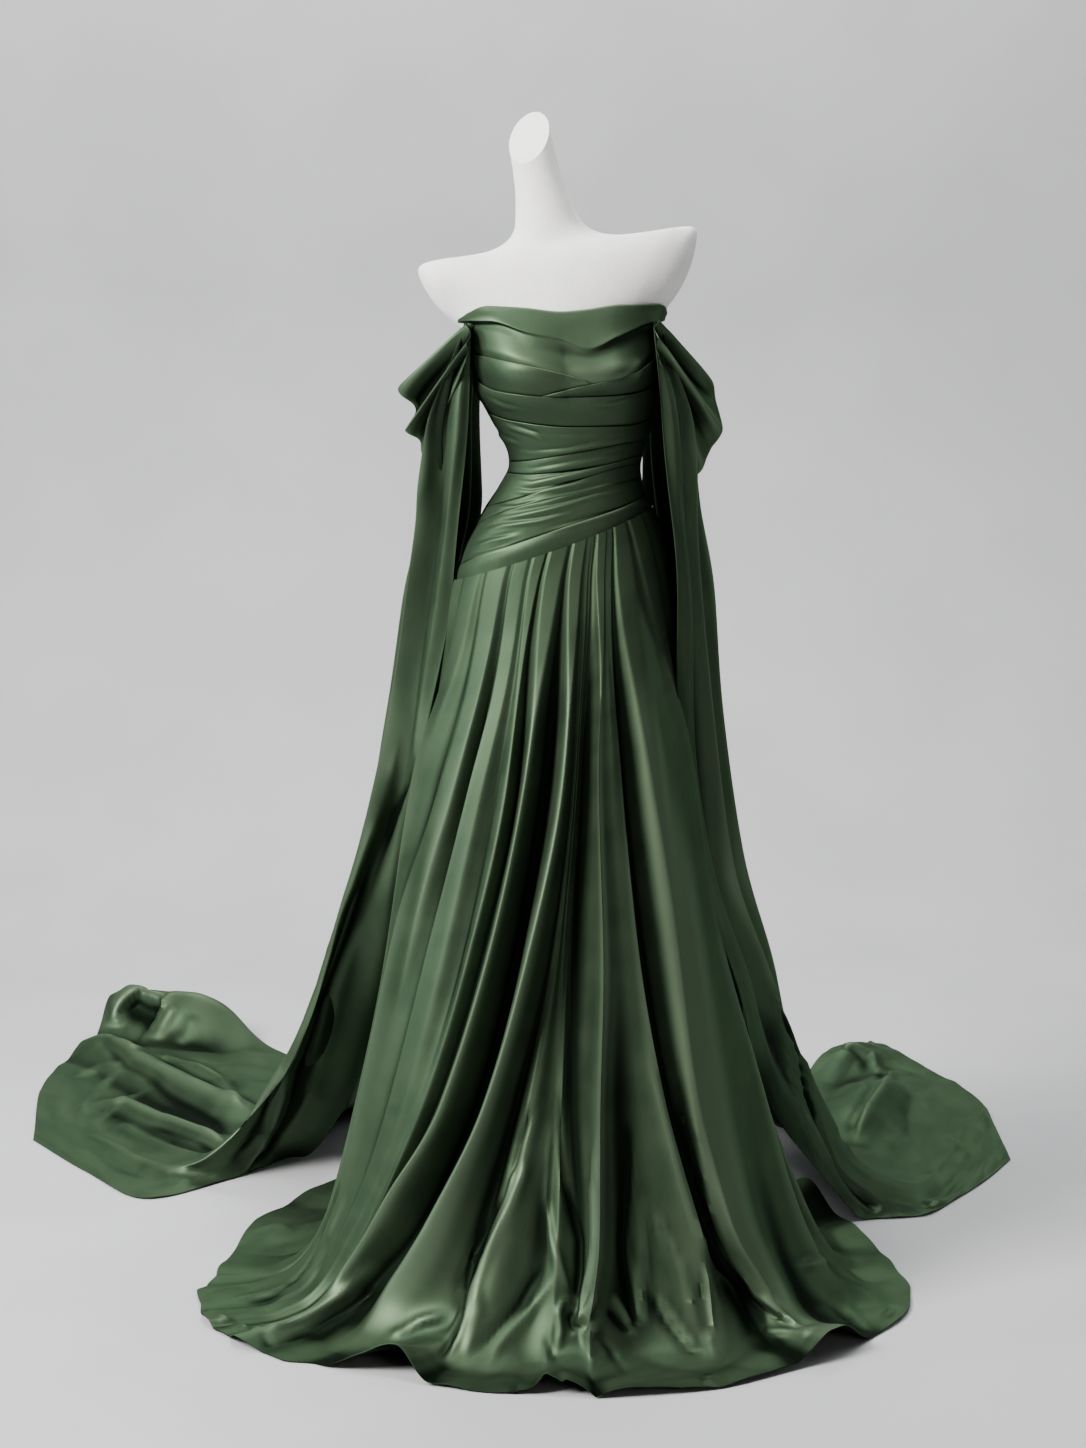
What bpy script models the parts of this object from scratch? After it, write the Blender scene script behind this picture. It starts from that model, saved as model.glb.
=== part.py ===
"""An off-shoulder A-line gown with draped cape sleeves, worn by a limbless dress form on a stand.

Metres, +Z up. The gown's front faces -Y. The origin is the middle of the stand's underside.
Cloth pieces are closed walls: a grid of outer points, moved in along its normals by the cloth's thickness.
Angles round the body are measured from the front, positive towards +X.
"""

import math

import bpy
import numpy as np

# ---- driving sizes ---------------------------------------------------------------------------
CLOTH = 0.002  # wall of the satin with its interlining
FINE_CLOTH = 0.0012  # wall of one pleat of the bodice
SEAM_GAP = 0.0004  # between pieces that are sewn together
SKIN_GAP = 0.0025  # between the form and the cloth
FORM_FOOT_Z = 0.800  # flat underside of the form
BEND_Z = (1.405, 1.475)  # the form leans to one side between these heights
BEND_DEG = 7.5
NECK_TOP_Z = 1.700  # before the neck is cut
POLE_RADIUS = 0.0125
BASE_RADIUS = 0.165
BASE_THICK = 0.008

GREEN = (0.035, 0.075, 0.036, 1.0)
WHITE = (0.86, 0.85, 0.83, 1.0)
STEEL = (0.62, 0.62, 0.63, 1.0)

# ---- the form: sections of the torso, hip to chest ---------------------------------------------
BODY = {
    "z": (0.800, 0.900, 0.970, 1.026, 1.060, 1.096, 1.126, 1.154, 1.183, 1.202, 1.229, 1.257, 1.290, 1.320, 1.350, 1.395, 1.424),
    "middle_x": (0.000, -0.001, 0.000, 0.001, 0.004, 0.009, 0.012, 0.015, 0.020, 0.021, 0.019, 0.014, 0.008, 0.006, 0.003, 0.000, 0.000),
    "half_width": (0.148, 0.154, 0.151, 0.144, 0.137, 0.125, 0.112, 0.097, 0.088, 0.091, 0.101, 0.112, 0.122, 0.124, 0.126, 0.142, 0.172),
    "front": (0.104, 0.106, 0.104, 0.099, 0.096, 0.091, 0.087, 0.083, 0.081, 0.082, 0.087, 0.097, 0.109, 0.114, 0.110, 0.096, 0.087),
    "back": (0.116, 0.121, 0.120, 0.114, 0.107, 0.099, 0.091, 0.084, 0.079, 0.080, 0.085, 0.091, 0.097, 0.100, 0.102, 0.100, 0.095),
}
# above the chest the rings are saddles: their sides and their middle stand at different heights
SHOULDERS = {
    "side_z": (1.424, 1.450, 1.470, 1.484, 1.490, 1.487, 1.488, 1.496, 1.512, 1.540, 1.590, NECK_TOP_Z),
    "middle_z": (1.424, 1.449, 1.468, 1.480, 1.486, 1.488, 1.492, 1.500, 1.515, 1.541, 1.590, NECK_TOP_Z),
    "shift_x": (0.000, 0.000, 0.000, 0.000, 0.000, 0.000, -0.001, -0.002, -0.003, -0.005, -0.009, -0.018),
    "half_width": (0.172, 0.200, 0.214, 0.210, 0.196, 0.150, 0.100, 0.067, 0.048, 0.0400, 0.0325, 0.0290),
    "front": (0.087, 0.078, 0.069, 0.060, 0.054, 0.051, 0.049, 0.047, 0.044, 0.0400, 0.0340, 0.0300),
    "back": (0.095, 0.086, 0.076, 0.066, 0.059, 0.056, 0.054, 0.051, 0.047, 0.0420, 0.0350, 0.0300),
}
BUST = {"angle": 27.0, "z": 1.312, "spread_deg": 21.0, "spread_z": 0.040, "out": 0.013}

# ---- the bodice: fold edges at five angles round the front ---------------------------------------
EDGE_ANGLES = (-90.0, -45.0, 0.0, 45.0, 90.0)
NECKLINE = (1.386, 1.407, 1.399, 1.410, 1.392)
COWL = {  # rows from the neckline down: height, and lift off the form in millimetres
    "neckline": (NECKLINE, (1.0, 1.4, 2.0, 1.4, 1.0)),
    "upper": ((1.380, 1.396, 1.384, 1.397, 1.387), (4.0, 4.5, 5.0, 4.5, 4.0)),
    "crest": ((1.372, 1.381, 1.362, 1.377, 1.380), (10.0, 13.0, 10.0, 13.0, 10.0)),
    "trough": ((1.361, 1.364, 1.344, 1.357, 1.370), (3.5, 4.5, 4.0, 4.0, 3.5)),
    "bulge": ((1.349, 1.345, 1.315, 1.333, 1.358), (2.5, 7.0, 12.0, 9.0, 2.5)),
    "tuck": ((1.331, 1.325, 1.282, 1.306, 1.338), (0.0, 0.0, 0.0, 0.0, 0.0)),
}
COWL_ROWS = (0.0, 0.11, 0.24, 0.38, 0.52, 0.68, 0.84, 1.0)
PLEATS = {  # the folded top edge of each pleat, top to bottom; pleat_1 and pleat_2 die out towards the middle
    "pleat_1": (1.341, 1.334, 1.313, 1.270, 1.250),
    "pleat_2": (1.292, 1.292, 1.294, 1.316, 1.350),
    "pleat_3": (1.316, 1.289, 1.2815, 1.286, 1.303),
    "pleat_4": (1.262, 1.2475, 1.2404, 1.2415, 1.256),
    "pleat_5": (1.188, 1.193, 1.206, 1.218, 1.223),
    "pleat_6": (1.173, 1.174, 1.181, 1.193, 1.203),
    "pleat_7": (1.120, 1.140, 1.166, 1.1845, 1.188),
    "pleat_8": (1.093, 1.126, 1.149, 1.163, 1.169),
    "waist_band": (1.036, 1.069, 1.105, 1.132, 1.148),
}
PLEAT_SPAN = {"pleat_1": (0, 11), "pleat_2": (6, 17)}  # the columns of the two short pleats; the others have all
COLUMNS_DEG = 11.2  # between the bodice's columns
PLEAT_COLUMNS = 17
PLEAT_TUCK = 0.007  # each pleat's foot lies this far under the next one's edge
PLEAT_ROLL = 0.0010  # its edge stands this much off what it covers
PLEAT_ROW = 0.013  # tallest row of one pleat
SEAM_MIDDLE_Z, SEAM_RISE, SEAM_FRONT = 1.0745, 0.0515, 0.004  # the slanting waist seam
BACK_LIFT = 0.0022  # the back panels' inner face, off the form
BACK_NECK_Z = (1.392, 1.366, 1.352, 1.362, 1.386)  # right side, round the back, to the left side

# ---- the skirt: sections from the waist seam to the hem -------------------------------------------
SKIRT = {
    "share": (0.00, 0.08, 0.20, 0.40, 0.60, 0.74, 0.83, 0.885, 0.93, 1.00),
    "z": (1.070, 0.965, 0.820, 0.580, 0.330, 0.150, 0.052, 0.014, 0.002, 0.002),
    "left": (0.147, 0.161, 0.182, 0.218, 0.266, 0.308, 0.348, 0.388, 0.430, 0.492),
    "right": (0.147, 0.156, 0.172, 0.208, 0.270, 0.330, 0.378, 0.412, 0.445, 0.498),
    "front": (0.102, 0.118, 0.150, 0.203, 0.260, 0.306, 0.344, 0.375, 0.406, 0.452),
    "back": (0.117, 0.134, 0.160, 0.216, 0.290, 0.360, 0.425, 0.480, 0.540, 0.640),
}
SEAM_FADE = 0.45  # below this share the sections are level
HIP_SHARE = 0.10  # above it the skirt lies on the hips
FOLDS = {  # ridge angle at the waist and at the hem, half of its depth, lift of its arch and reach at the hem
    "waist_deg": (-78, -56, -36, -20, -4, 14, 34, 55, 76, 97, 120, 143, 166, 188, 210, 232, 256),
    "hem_deg": (-84, -58, -28, -15, -2, 11, 25, 46, 68, 92, 116, 140, 163, 186, 209, 233, 256),
    "depth": (0.013, 0.024, 0.029, 0.013, 0.021, 0.014, 0.024, 0.028, 0.009, 0.013, 0.020, 0.016, 0.026, 0.015, 0.024, 0.015, 0.013),
    "arch": (0.008, 0.010, 0.058, 0.010, 0.030, 0.014, 0.008, 0.044, 0.008, 0.006, 0.030, 0.012, 0.034, 0.010, 0.026, 0.008, 0.008),
    "reach": (0.012, 0.048, -0.006, -0.016, 0.002, 0.020, 0.012, 0.010, 0.022, -0.020, -0.020, -0.014, 0.018, -0.010, 0.016, -0.012, 0.010),
}
SKIRT_COLUMNS_PER_FOLD = 5
SKIRT_ROWS = (0.0, 0.06, 0.14, 0.27, 0.42, 0.57, 0.70, 0.79, 0.86, 0.92, 1.0)
SKIRT_PANELS = {  # the folds whose valleys hold the seams between the panels
    "skirt_front": (1, 8),
    "skirt_side_right": (8, 10),
    "skirt_back_right": (10, 13),
    "skirt_back_left": (13, 16),
    "skirt_side_left": (16, 18),
}

# ---- the sleeves: sections from the shoulder to the hem on the floor -------------------------------
CAPE_LEFT = {  # front edge, outermost point and back edge of each section, and half the depth of its folds
    "front": ((-0.144, -0.048, 1.345), (-0.141, -0.052, 1.262), (-0.150, -0.050, 1.134), (-0.166, -0.020, 1.000),
              (-0.204, 0.020, 0.820), (-0.232, 0.090, 0.610), (-0.244, 0.200, 0.420), (-0.292, 0.325, 0.220),
              (-0.350, 0.395, 0.080), (-0.430, 0.425, 0.002), (-0.530, 0.385, 0.002), (-0.650, 0.345, 0.002),
              (-0.770, 0.485, 0.002), (-0.885, 0.655, 0.002)),
    "outer": ((-0.165, 0.020, 1.300), (-0.172, 0.024, 1.225), (-0.182, 0.035, 1.120), (-0.214, 0.055, 1.000),
              (-0.243, 0.105, 0.820), (-0.284, 0.170, 0.610), (-0.332, 0.260, 0.468), (-0.394, 0.350, 0.295),
              (-0.432, 0.410, 0.205), (-0.490, 0.435, 0.115), (-0.580, 0.425, 0.034), (-0.690, 0.520, 0.006),
              (-0.815, 0.740, 0.002), (-0.925, 1.000, 0.002)),
    "back": ((-0.124, 0.110, 1.330), (-0.130, 0.120, 1.260), (-0.146, 0.145, 1.134), (-0.172, 0.172, 1.000),
             (-0.200, 0.225, 0.820), (-0.222, 0.310, 0.610), (-0.250, 0.430, 0.420), (-0.276, 0.545, 0.220),
             (-0.300, 0.680, 0.070), (-0.345, 0.840, 0.002), (-0.420, 1.040, 0.002), (-0.540, 1.230, 0.002),
             (-0.690, 1.340, 0.002), (-0.850, 1.390, 0.002)),
    "depth": (0.005, 0.007, 0.010, 0.012, 0.014, 0.016, 0.016, 0.010, 0.003, 0.006, 0.014, 0.018, 0.018, 0.010),
}
CAPE_RIGHT = {
    "front": ((0.149, -0.048, 1.350), (0.148, -0.052, 1.262), (0.156, -0.055, 1.134), (0.164, -0.055, 1.000),
              (0.179, -0.066, 0.820), (0.212, -0.086, 0.610), (0.268, 0.020, 0.420), (0.306, 0.140, 0.240),
              (0.388, 0.205, 0.107), (0.478, 0.246, 0.002), (0.562, 0.262, 0.002), (0.635, 0.352, 0.002),
              (0.697, 0.450, 0.002), (0.748, 0.549, 0.002)),
    "outer": ((0.171, 0.020, 1.305), (0.177, 0.024, 1.225), (0.185, 0.035, 1.120), (0.206, 0.050, 1.000),
              (0.226, 0.080, 0.820), (0.258, 0.140, 0.610), (0.310, 0.220, 0.435), (0.352, 0.270, 0.305),
              (0.410, 0.300, 0.165), (0.472, 0.312, 0.065), (0.570, 0.325, 0.012), (0.650, 0.470, 0.002),
              (0.712, 0.650, 0.002), (0.752, 0.830, 0.002)),
    "back": ((0.130, 0.110, 1.335), (0.136, 0.120, 1.262), (0.150, 0.145, 1.134), (0.174, 0.172, 1.000),
             (0.202, 0.218, 0.820), (0.230, 0.300, 0.610), (0.262, 0.415, 0.420), (0.292, 0.530, 0.220),
             (0.320, 0.660, 0.070), (0.360, 0.800, 0.002), (0.420, 0.950, 0.002), (0.485, 1.090, 0.002),
             (0.545, 1.200, 0.002), (0.600, 1.280, 0.002)),
    "depth": (0.005, 0.007, 0.010, 0.012, 0.012, 0.014, 0.016, 0.018, 0.014, 0.010, 0.012, 0.018, 0.018, 0.010),
}
CAPE_FOLDS, CAPE_COLUMNS_PER_FOLD, CAPE_STEPS = 4, 4, 2  # waves across a sleeve, and rows between two sections
TRAIN_ROLLS = {  # folds that lie on the floor: plan position of both ends, half width and height
    "from": ((-0.870, 1.220), (-0.900, 1.370), (-0.780, 0.860), (0.560, 0.900), (0.640, 1.130)),
    "to": ((-0.526, 0.700), (-0.600, 1.290), (-0.560, 0.560), (0.470, 0.700), (0.560, 1.100)),
    "wide": (0.075, 0.100, 0.050, 0.060, 0.070),
    "high": (0.040, 0.085, 0.022, 0.030, 0.040),
}
SWAG_LEFT = {  # top and bottom edge of the upper-arm drape: front end, outermost point, back end
    "top": ((-0.1340, -0.078, 1.3820), (-0.228, 0.012, 1.286), (-0.128, 0.124, 1.362)),
    "bottom": ((-0.1270, -0.084, 1.3180), (-0.212, 0.020, 1.168), (-0.138, 0.140, 1.310)),
}
SWAG_RIGHT = {
    "top": ((0.1400, -0.078, 1.3880), (0.228, 0.012, 1.284), (0.133, 0.124, 1.368)),
    "bottom": ((0.1340, -0.084, 1.3240), (0.218, 0.020, 1.146), (0.143, 0.140, 1.314)),
}
SWAG_BULGE = 0.012
SWAG_FOLD, SWAG_COLUMNS, SWAG_ROWS = 0.008, 16, 6


# ---- small tools -------------------------------------------------------------------------------
def through(x, stations, values):
    """A smooth curve through the table's points that never overshoots them (monotone cubic)."""
    xs, ys = np.asarray(stations, float), np.asarray(values, float)
    steps = np.diff(xs)
    slopes = np.diff(ys) / steps
    tangents = np.zeros_like(ys)
    tangents[0], tangents[-1] = slopes[0], slopes[-1]
    same_way = slopes[:-1] * slopes[1:] > 0
    weights_a = 2 * steps[1:] + steps[:-1]
    weights_b = steps[1:] + 2 * steps[:-1]
    with np.errstate(divide="ignore", invalid="ignore"):
        mean = (weights_a + weights_b) / (weights_a / slopes[:-1] + weights_b / slopes[1:])
    tangents[1:-1] = np.where(same_way, mean, 0.0)
    x = np.clip(x, xs[0], xs[-1])
    i = np.clip(np.searchsorted(xs, x, side="right") - 1, 0, len(steps) - 1)
    t = (x - xs[i]) / steps[i]
    return (
        (2 * t**3 - 3 * t**2 + 1) * ys[i]
        + (t**3 - 2 * t**2 + t) * steps[i] * tangents[i]
        + (3 * t**2 - 2 * t**3) * ys[i + 1]
        + (t**3 - t**2) * steps[i] * tangents[i + 1]
    )


def ease(x, start, end):
    """0 before start, 1 after end, smooth between."""
    t = np.clip((x - start) / (end - start), 0, 1)
    return t * t * (3 - 2 * t)


def material(name, colour, roughness, metallic=0.0):
    made = bpy.data.materials.new(name)
    made.use_nodes = True
    shader = made.node_tree.nodes["Principled BSDF"]
    shader.inputs["Base Color"].default_value = colour
    shader.inputs["Roughness"].default_value = roughness
    shader.inputs["Metallic"].default_value = metallic
    return made


def add_object(name, points, faces, finish, sharp_deg=50):
    mesh = bpy.data.meshes.new(name)
    mesh.from_pydata([tuple(map(float, p)) for p in points], [], faces)
    mesh.validate()
    mesh.materials.append(finish)
    mesh.shade_smooth()
    mesh.set_sharp_from_angle(angle=math.radians(sharp_deg))
    made = bpy.data.objects.new(name, mesh)
    bpy.context.scene.collection.objects.link(made)
    return made


def grid_normals(grid):
    """Unit normals of a grid of points, from the directions along its rows and columns."""
    along, across = np.gradient(grid, axis=0), np.gradient(grid, axis=1)
    normals = np.cross(along, across)
    return normals / np.maximum(np.linalg.norm(normals, axis=2, keepdims=True), 1e-12)


def cloth_wall(name, grid, thickness, finish, outward=1.0):
    """A closed wall: grid is its outer face, and its inner face lies one thickness inside and never below the floor."""
    inner = grid - outward * thickness * grid_normals(grid)
    inner[:, :, 2] = np.maximum(inner[:, :, 2], 0.0)
    rows, columns = grid.shape[:2]
    points = np.concatenate([grid.reshape(-1, 3), inner.reshape(-1, 3)])
    under = rows * columns

    def at(row, column, side=0):
        return side * under + row * columns + column

    faces = []
    for r in range(rows - 1):
        for c in range(columns - 1):
            a, b, c2, d = at(r, c), at(r + 1, c), at(r + 1, c + 1), at(r, c + 1)
            faces += [(a, b, c2), (a, c2, d), (a + under, c2 + under, b + under), (a + under, d + under, c2 + under)]
    rim = [at(0, c) for c in range(columns)] + [at(r, columns - 1) for r in range(1, rows)]
    rim += [at(rows - 1, c) for c in range(columns - 2, -1, -1)] + [at(r, 0) for r in range(rows - 2, 0, -1)]
    for a, b in zip(rim, rim[1:] + rim[:1]):
        faces += [(a, b, b + under), (a, b + under, a + under)]
    if outward < 0:
        faces = [tuple(reversed(f)) for f in faces]
    return add_object(name, points, faces, finish)


# ---- the form ----------------------------------------------------------------------------------
def bent(points):
    """Leans the chest, shoulders and neck towards -X about the top of the bodice."""
    x, y, z = points[..., 0], points[..., 1], points[..., 2]
    angle = math.radians(BEND_DEG) * ease(z, *BEND_Z)
    over = z - BEND_Z[0]
    return np.stack([x * np.cos(angle) - over * np.sin(angle), y, BEND_Z[0] + over * np.cos(angle) + x * np.sin(angle)], -1)


def body_point(angle_deg, z, out=0.0):
    """A point on the torso at this height and angle, moved out from it. Angles and heights may be arrays."""
    angle_deg, z = np.broadcast_arrays(np.asarray(angle_deg, float), np.asarray(z, float))
    a = np.radians(angle_deg)
    middle, half = through(z, BODY["z"], BODY["middle_x"]), through(z, BODY["z"], BODY["half_width"])
    front, back = through(z, BODY["z"], BODY["front"]), through(z, BODY["z"], BODY["back"])
    depth = np.where(np.cos(a) > 0, front, back)
    turn = (np.abs(angle_deg) - BUST["angle"]) / BUST["spread_deg"]
    rise = (z - BUST["z"]) / BUST["spread_z"]
    bust = BUST["out"] * np.exp(-(turn**2) - rise**2) * (np.cos(a) > 0)
    across, ahead = np.sin(a), -np.cos(a)
    normal = np.stack([across / half, ahead / depth], -1)
    normal /= np.linalg.norm(normal, axis=-1, keepdims=True)
    reach = np.asarray(out) + bust
    return np.stack([middle + half * across + reach * normal[..., 0], depth * ahead + reach * normal[..., 1], z], -1)


def form_rings(around=48):
    angles = np.linspace(-180, 180, around, endpoint=False)
    a = np.radians(angles)
    rings = [body_point(angles, z) for z in (0.800, 0.860, 0.920, 0.980, 1.030, 1.070, 1.105, 1.135, 1.158, 1.174,
                                             1.190, 1.206, 1.228, 1.252, 1.280, 1.305, 1.330, 1.360, 1.385, 1.405)]
    side_share = np.abs(np.sin(a)) ** 2
    for row in zip(*SHOULDERS.values()):
        side_z, middle_z, shift, half, front, back = row
        depth = np.where(np.cos(a) > 0, front, back)
        z = middle_z + (side_z - middle_z) * side_share
        rings.append(np.stack([shift + half * np.sin(a), -depth * np.cos(a), z], -1))
    return [bent(np.array(ring)) for ring in rings]


def cutter(name, corner, normal, size=0.5):
    """A block whose one face passes through corner, square to normal; it lies on the normal's side."""
    normal = np.array(normal, float) / np.linalg.norm(normal)
    side = np.cross(normal, (0.0, 1.0, 0.0))
    side /= np.linalg.norm(side)
    other = np.cross(normal, side)
    base = [np.array(corner) + size / 2 * (i * side + j * other) for i, j in ((-1, -1), (1, -1), (1, 1), (-1, 1))]
    points = base + [p + size * normal for p in base]
    faces = [(3, 2, 1, 0), (4, 5, 6, 7), (0, 1, 5, 4), (1, 2, 6, 5), (2, 3, 7, 6), (3, 0, 4, 7)]
    made = add_object(name, points, faces, bpy.data.materials[0])
    made.hide_render = True
    made.display_type = "WIRE"
    return made


FORM_CUTS = {  # a point on each cut's plane, and the way the cut face looks
    "arm_cut_left": ((-0.176, 0.0, 1.425), (-0.84, -0.17, -0.52)),
    "arm_cut_right": ((0.166, 0.0, 1.447), (0.90, -0.17, -0.40)),
    "neck_cut": ((-0.037, 0.000, 1.640), (-0.41, -0.63, 0.66)),
}


def make_form(finish):
    rings = form_rings()
    around = len(rings[0])
    points = np.concatenate(rings)
    faces = [tuple(reversed(range(around))), tuple(range(len(points) - around, len(points)))]
    for level in range(len(rings) - 1):
        for c in range(around):
            a, b = level * around + c, level * around + (c + 1) % around
            faces.append((a, b, b + around, a + around))
    form = add_object("form_torso", points, faces, finish, sharp_deg=35)
    for name, (corner, normal) in FORM_CUTS.items():
        cut = form.modifiers.new(name, "BOOLEAN")
        cut.operation, cut.solver = "DIFFERENCE", "EXACT"
        cut.object = cutter(name, corner, normal)


def turned(name, profile, finish, around=32):
    """A solid of revolution about Z. The profile runs from the axis at the bottom, out, up and back to the axis."""
    points, faces = [(0, 0, profile[0][1])], []
    inner = profile[1:-1]
    for r, z in inner:
        points += [(r * math.cos(math.tau * i / around), r * math.sin(math.tau * i / around), z) for i in range(around)]
    points.append((0, 0, profile[-1][1]))
    top = len(points) - 1
    for i in range(around):
        j = (i + 1) % around
        faces.append((0, 1 + j, 1 + i))
        for level in range(len(inner) - 1):
            base = 1 + level * around
            faces.append((base + i, base + j, base + around + j, base + around + i))
        faces.append((top, top - around + i, top - around + j))
    return add_object(name, points, faces, finish, sharp_deg=30)


def make_stand(steel):
    edge = 0.002
    turned("stand_base", [(0, 0), (BASE_RADIUS - edge, 0), (BASE_RADIUS, edge), (BASE_RADIUS, BASE_THICK - edge),
                          (BASE_RADIUS - edge, BASE_THICK), (0, BASE_THICK)], steel, around=48)
    foot, head = BASE_THICK + SEAM_GAP, FORM_FOOT_Z - SEAM_GAP
    boss, boss_high = 0.028, 0.022
    plate, plate_thick = 0.045, 0.006
    turned("stand_pole", [(0, foot), (boss, foot), (boss, foot + boss_high * 0.6), (POLE_RADIUS, foot + boss_high),
                          (POLE_RADIUS, head - plate_thick - boss_high), (boss, head - plate_thick),
                          (plate, head - plate_thick), (plate, head), (0, head)], steel, around=24)


# ---- the bodice ----------------------------------------------------------------------------------
def edge_height(values, angle_deg):
    return through(angle_deg, EDGE_ANGLES, values)


def seam_height(angle_deg):
    """The waist seam slants down towards -X and rises a little at the front."""
    a = np.radians(angle_deg)
    return SEAM_MIDDLE_Z + SEAM_RISE * np.sin(a) + SEAM_FRONT * np.maximum(np.cos(a), 0)


class Layers:
    """How far out the pieces laid on the form's front already reach, by angle and height."""

    def __init__(self):
        self.angles = np.arange(-90.0, 90.01, 0.7)
        self.heights = np.arange(1.000, 1.430, 0.0005)
        self.reach = np.full((len(self.angles), len(self.heights)), SKIN_GAP - SEAM_GAP)

    def under(self, angles, z):
        """The furthest reach within one cell of each vertex of a grid of heights, rows by columns."""
        rows, columns = z.shape
        found = np.zeros_like(z)
        for c in range(columns):
            left, right = angles[max(c - 1, 0)], angles[min(c + 1, columns - 1)]
            strip = self.reach[(self.angles >= left - 0.8) & (self.angles <= right + 0.8)]
            for r in range(rows):
                near = z[max(r - 1, 0):r + 2, max(c - 1, 0):c + 2]
                span = (self.heights >= near.min() - 0.0006) & (self.heights <= near.max() + 0.0006)
                found[r, c] = strip[:, span].max()
        return found

    def add(self, angles, z, out):
        for i, angle in enumerate(self.angles):
            if angles[0] <= angle <= angles[-1]:
                heights = [np.interp(angle, angles, row) for row in z]
                outs = [np.interp(angle, angles, row) for row in out]
                covered = np.interp(self.heights, heights[::-1], outs[::-1], left=0.0, right=0.0)
                self.reach[i] = np.maximum(self.reach[i], covered)


def lay(layers, name, angles, z, lift, finish):
    """One piece over what lies there already. z and lift are rows by columns; lift is extra reach."""
    out = layers.under(angles, z) + SEAM_GAP + FINE_CLOTH + lift
    layers.add(angles, z, out)
    cloth_wall(name, body_point(angles[None, :], z, out), FINE_CLOTH, finish)


def front_columns(first=0, last=PLEAT_COLUMNS):
    return (np.arange(first, last) - (PLEAT_COLUMNS - 1) / 2) * COLUMNS_DEG


def make_cowl(layers, finish):
    angles = front_columns()
    places = np.linspace(0, 1, len(COWL))
    heights = np.array([edge_height(z, angles) for z, _ in COWL.values()])
    lifts = np.array([edge_height(out, angles) for _, out in COWL.values()]) / 1000
    z = np.array([[through(share, places, column) for column in heights.T] for share in COWL_ROWS])
    lift = np.array([[through(share, places, column) for column in lifts.T] for share in COWL_ROWS])
    lay(layers, "neckline_cowl", angles, z, lift, finish)


def make_pleats(layers, finish):
    """Each pleat's folded edge lies over the foot of the one above it."""
    names = list(PLEATS)
    for name in names:
        angles = front_columns(*PLEAT_SPAN.get(name, (0, PLEAT_COLUMNS)))
        top = edge_height(PLEATS[name], angles)
        following = names[names.index(name) + (2 if name == "pleat_1" else 1):]
        foot = edge_height(PLEATS[following[0]], angles) - PLEAT_TUCK if following else seam_height(angles)
        tall = float((top - foot).max())
        shares = [0.0, *np.linspace(0.0038 / tall, 1.0, max(3, math.ceil(tall / PLEAT_ROW) + 1))]
        z = np.array([top + (foot - top) * share for share in shares])
        lift = np.array([np.full(len(angles), PLEAT_ROLL * (i == 1)) for i in range(len(shares))])
        lay(layers, name, angles, z, lift, finish)


def make_back(finish):
    """Two plain back panels, and the lap that covers the fastening between them."""
    gap_deg = 0.45
    side = 180 - (PLEAT_COLUMNS - 1) / 2 * COLUMNS_DEG - gap_deg
    across = {"bodice_back_right": (180 - side, 180 - gap_deg), "bodice_back_left": (180 + gap_deg, 180 + side)}
    back_angles = np.array((90, 135, 180, 225, 270))
    reach = SKIN_GAP + BACK_LIFT + CLOTH
    for name, (first, last) in across.items():
        angles = np.linspace(first, last, 9)
        top = through(angles, back_angles, BACK_NECK_Z)
        low = seam_height(angles)
        z = np.array([top + (low - top) * share for share in np.linspace(0, 1, 8)])
        cloth_wall(name, body_point(angles[None, :], z, reach), CLOTH, finish)
    half_lap = 3.6
    angles = np.linspace(180 - half_lap, 180 + half_lap, 3)
    top, low = BACK_NECK_Z[2], float(seam_height(180.0))
    grid = [body_point(angles, z, reach + FINE_CLOTH + 0.0008) for z in np.linspace(top, low, 8)]
    cloth_wall("back_lap", np.array(grid), FINE_CLOTH, finish)


# ---- the skirt -----------------------------------------------------------------------------------
def fold_at(place, share):
    """Ridge angle, crest from 0 to 1, half depth, arch and reach at a place counted in folds round the skirt."""
    count = len(FOLDS["depth"])
    k = math.floor(place)
    t = place - k

    def of_fold(column, index):
        return FOLDS[column][index % count] + (360 * (index // count) if column.endswith("deg") else 0)

    down = ease(share, 0.0, 0.9)
    angles = [(1 - down) * of_fold("waist_deg", i) + down * of_fold("hem_deg", i) for i in (k, k + 1)]
    depth, arch, reach = ((1 - t) * of_fold(c, k) + t * of_fold(c, k + 1) for c in ("depth", "arch", "reach"))
    crest = (0.5 + 0.5 * math.cos(math.tau * t)) ** 0.75
    return angles[0] + (angles[1] - angles[0]) * t, crest, depth, arch, reach


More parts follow.
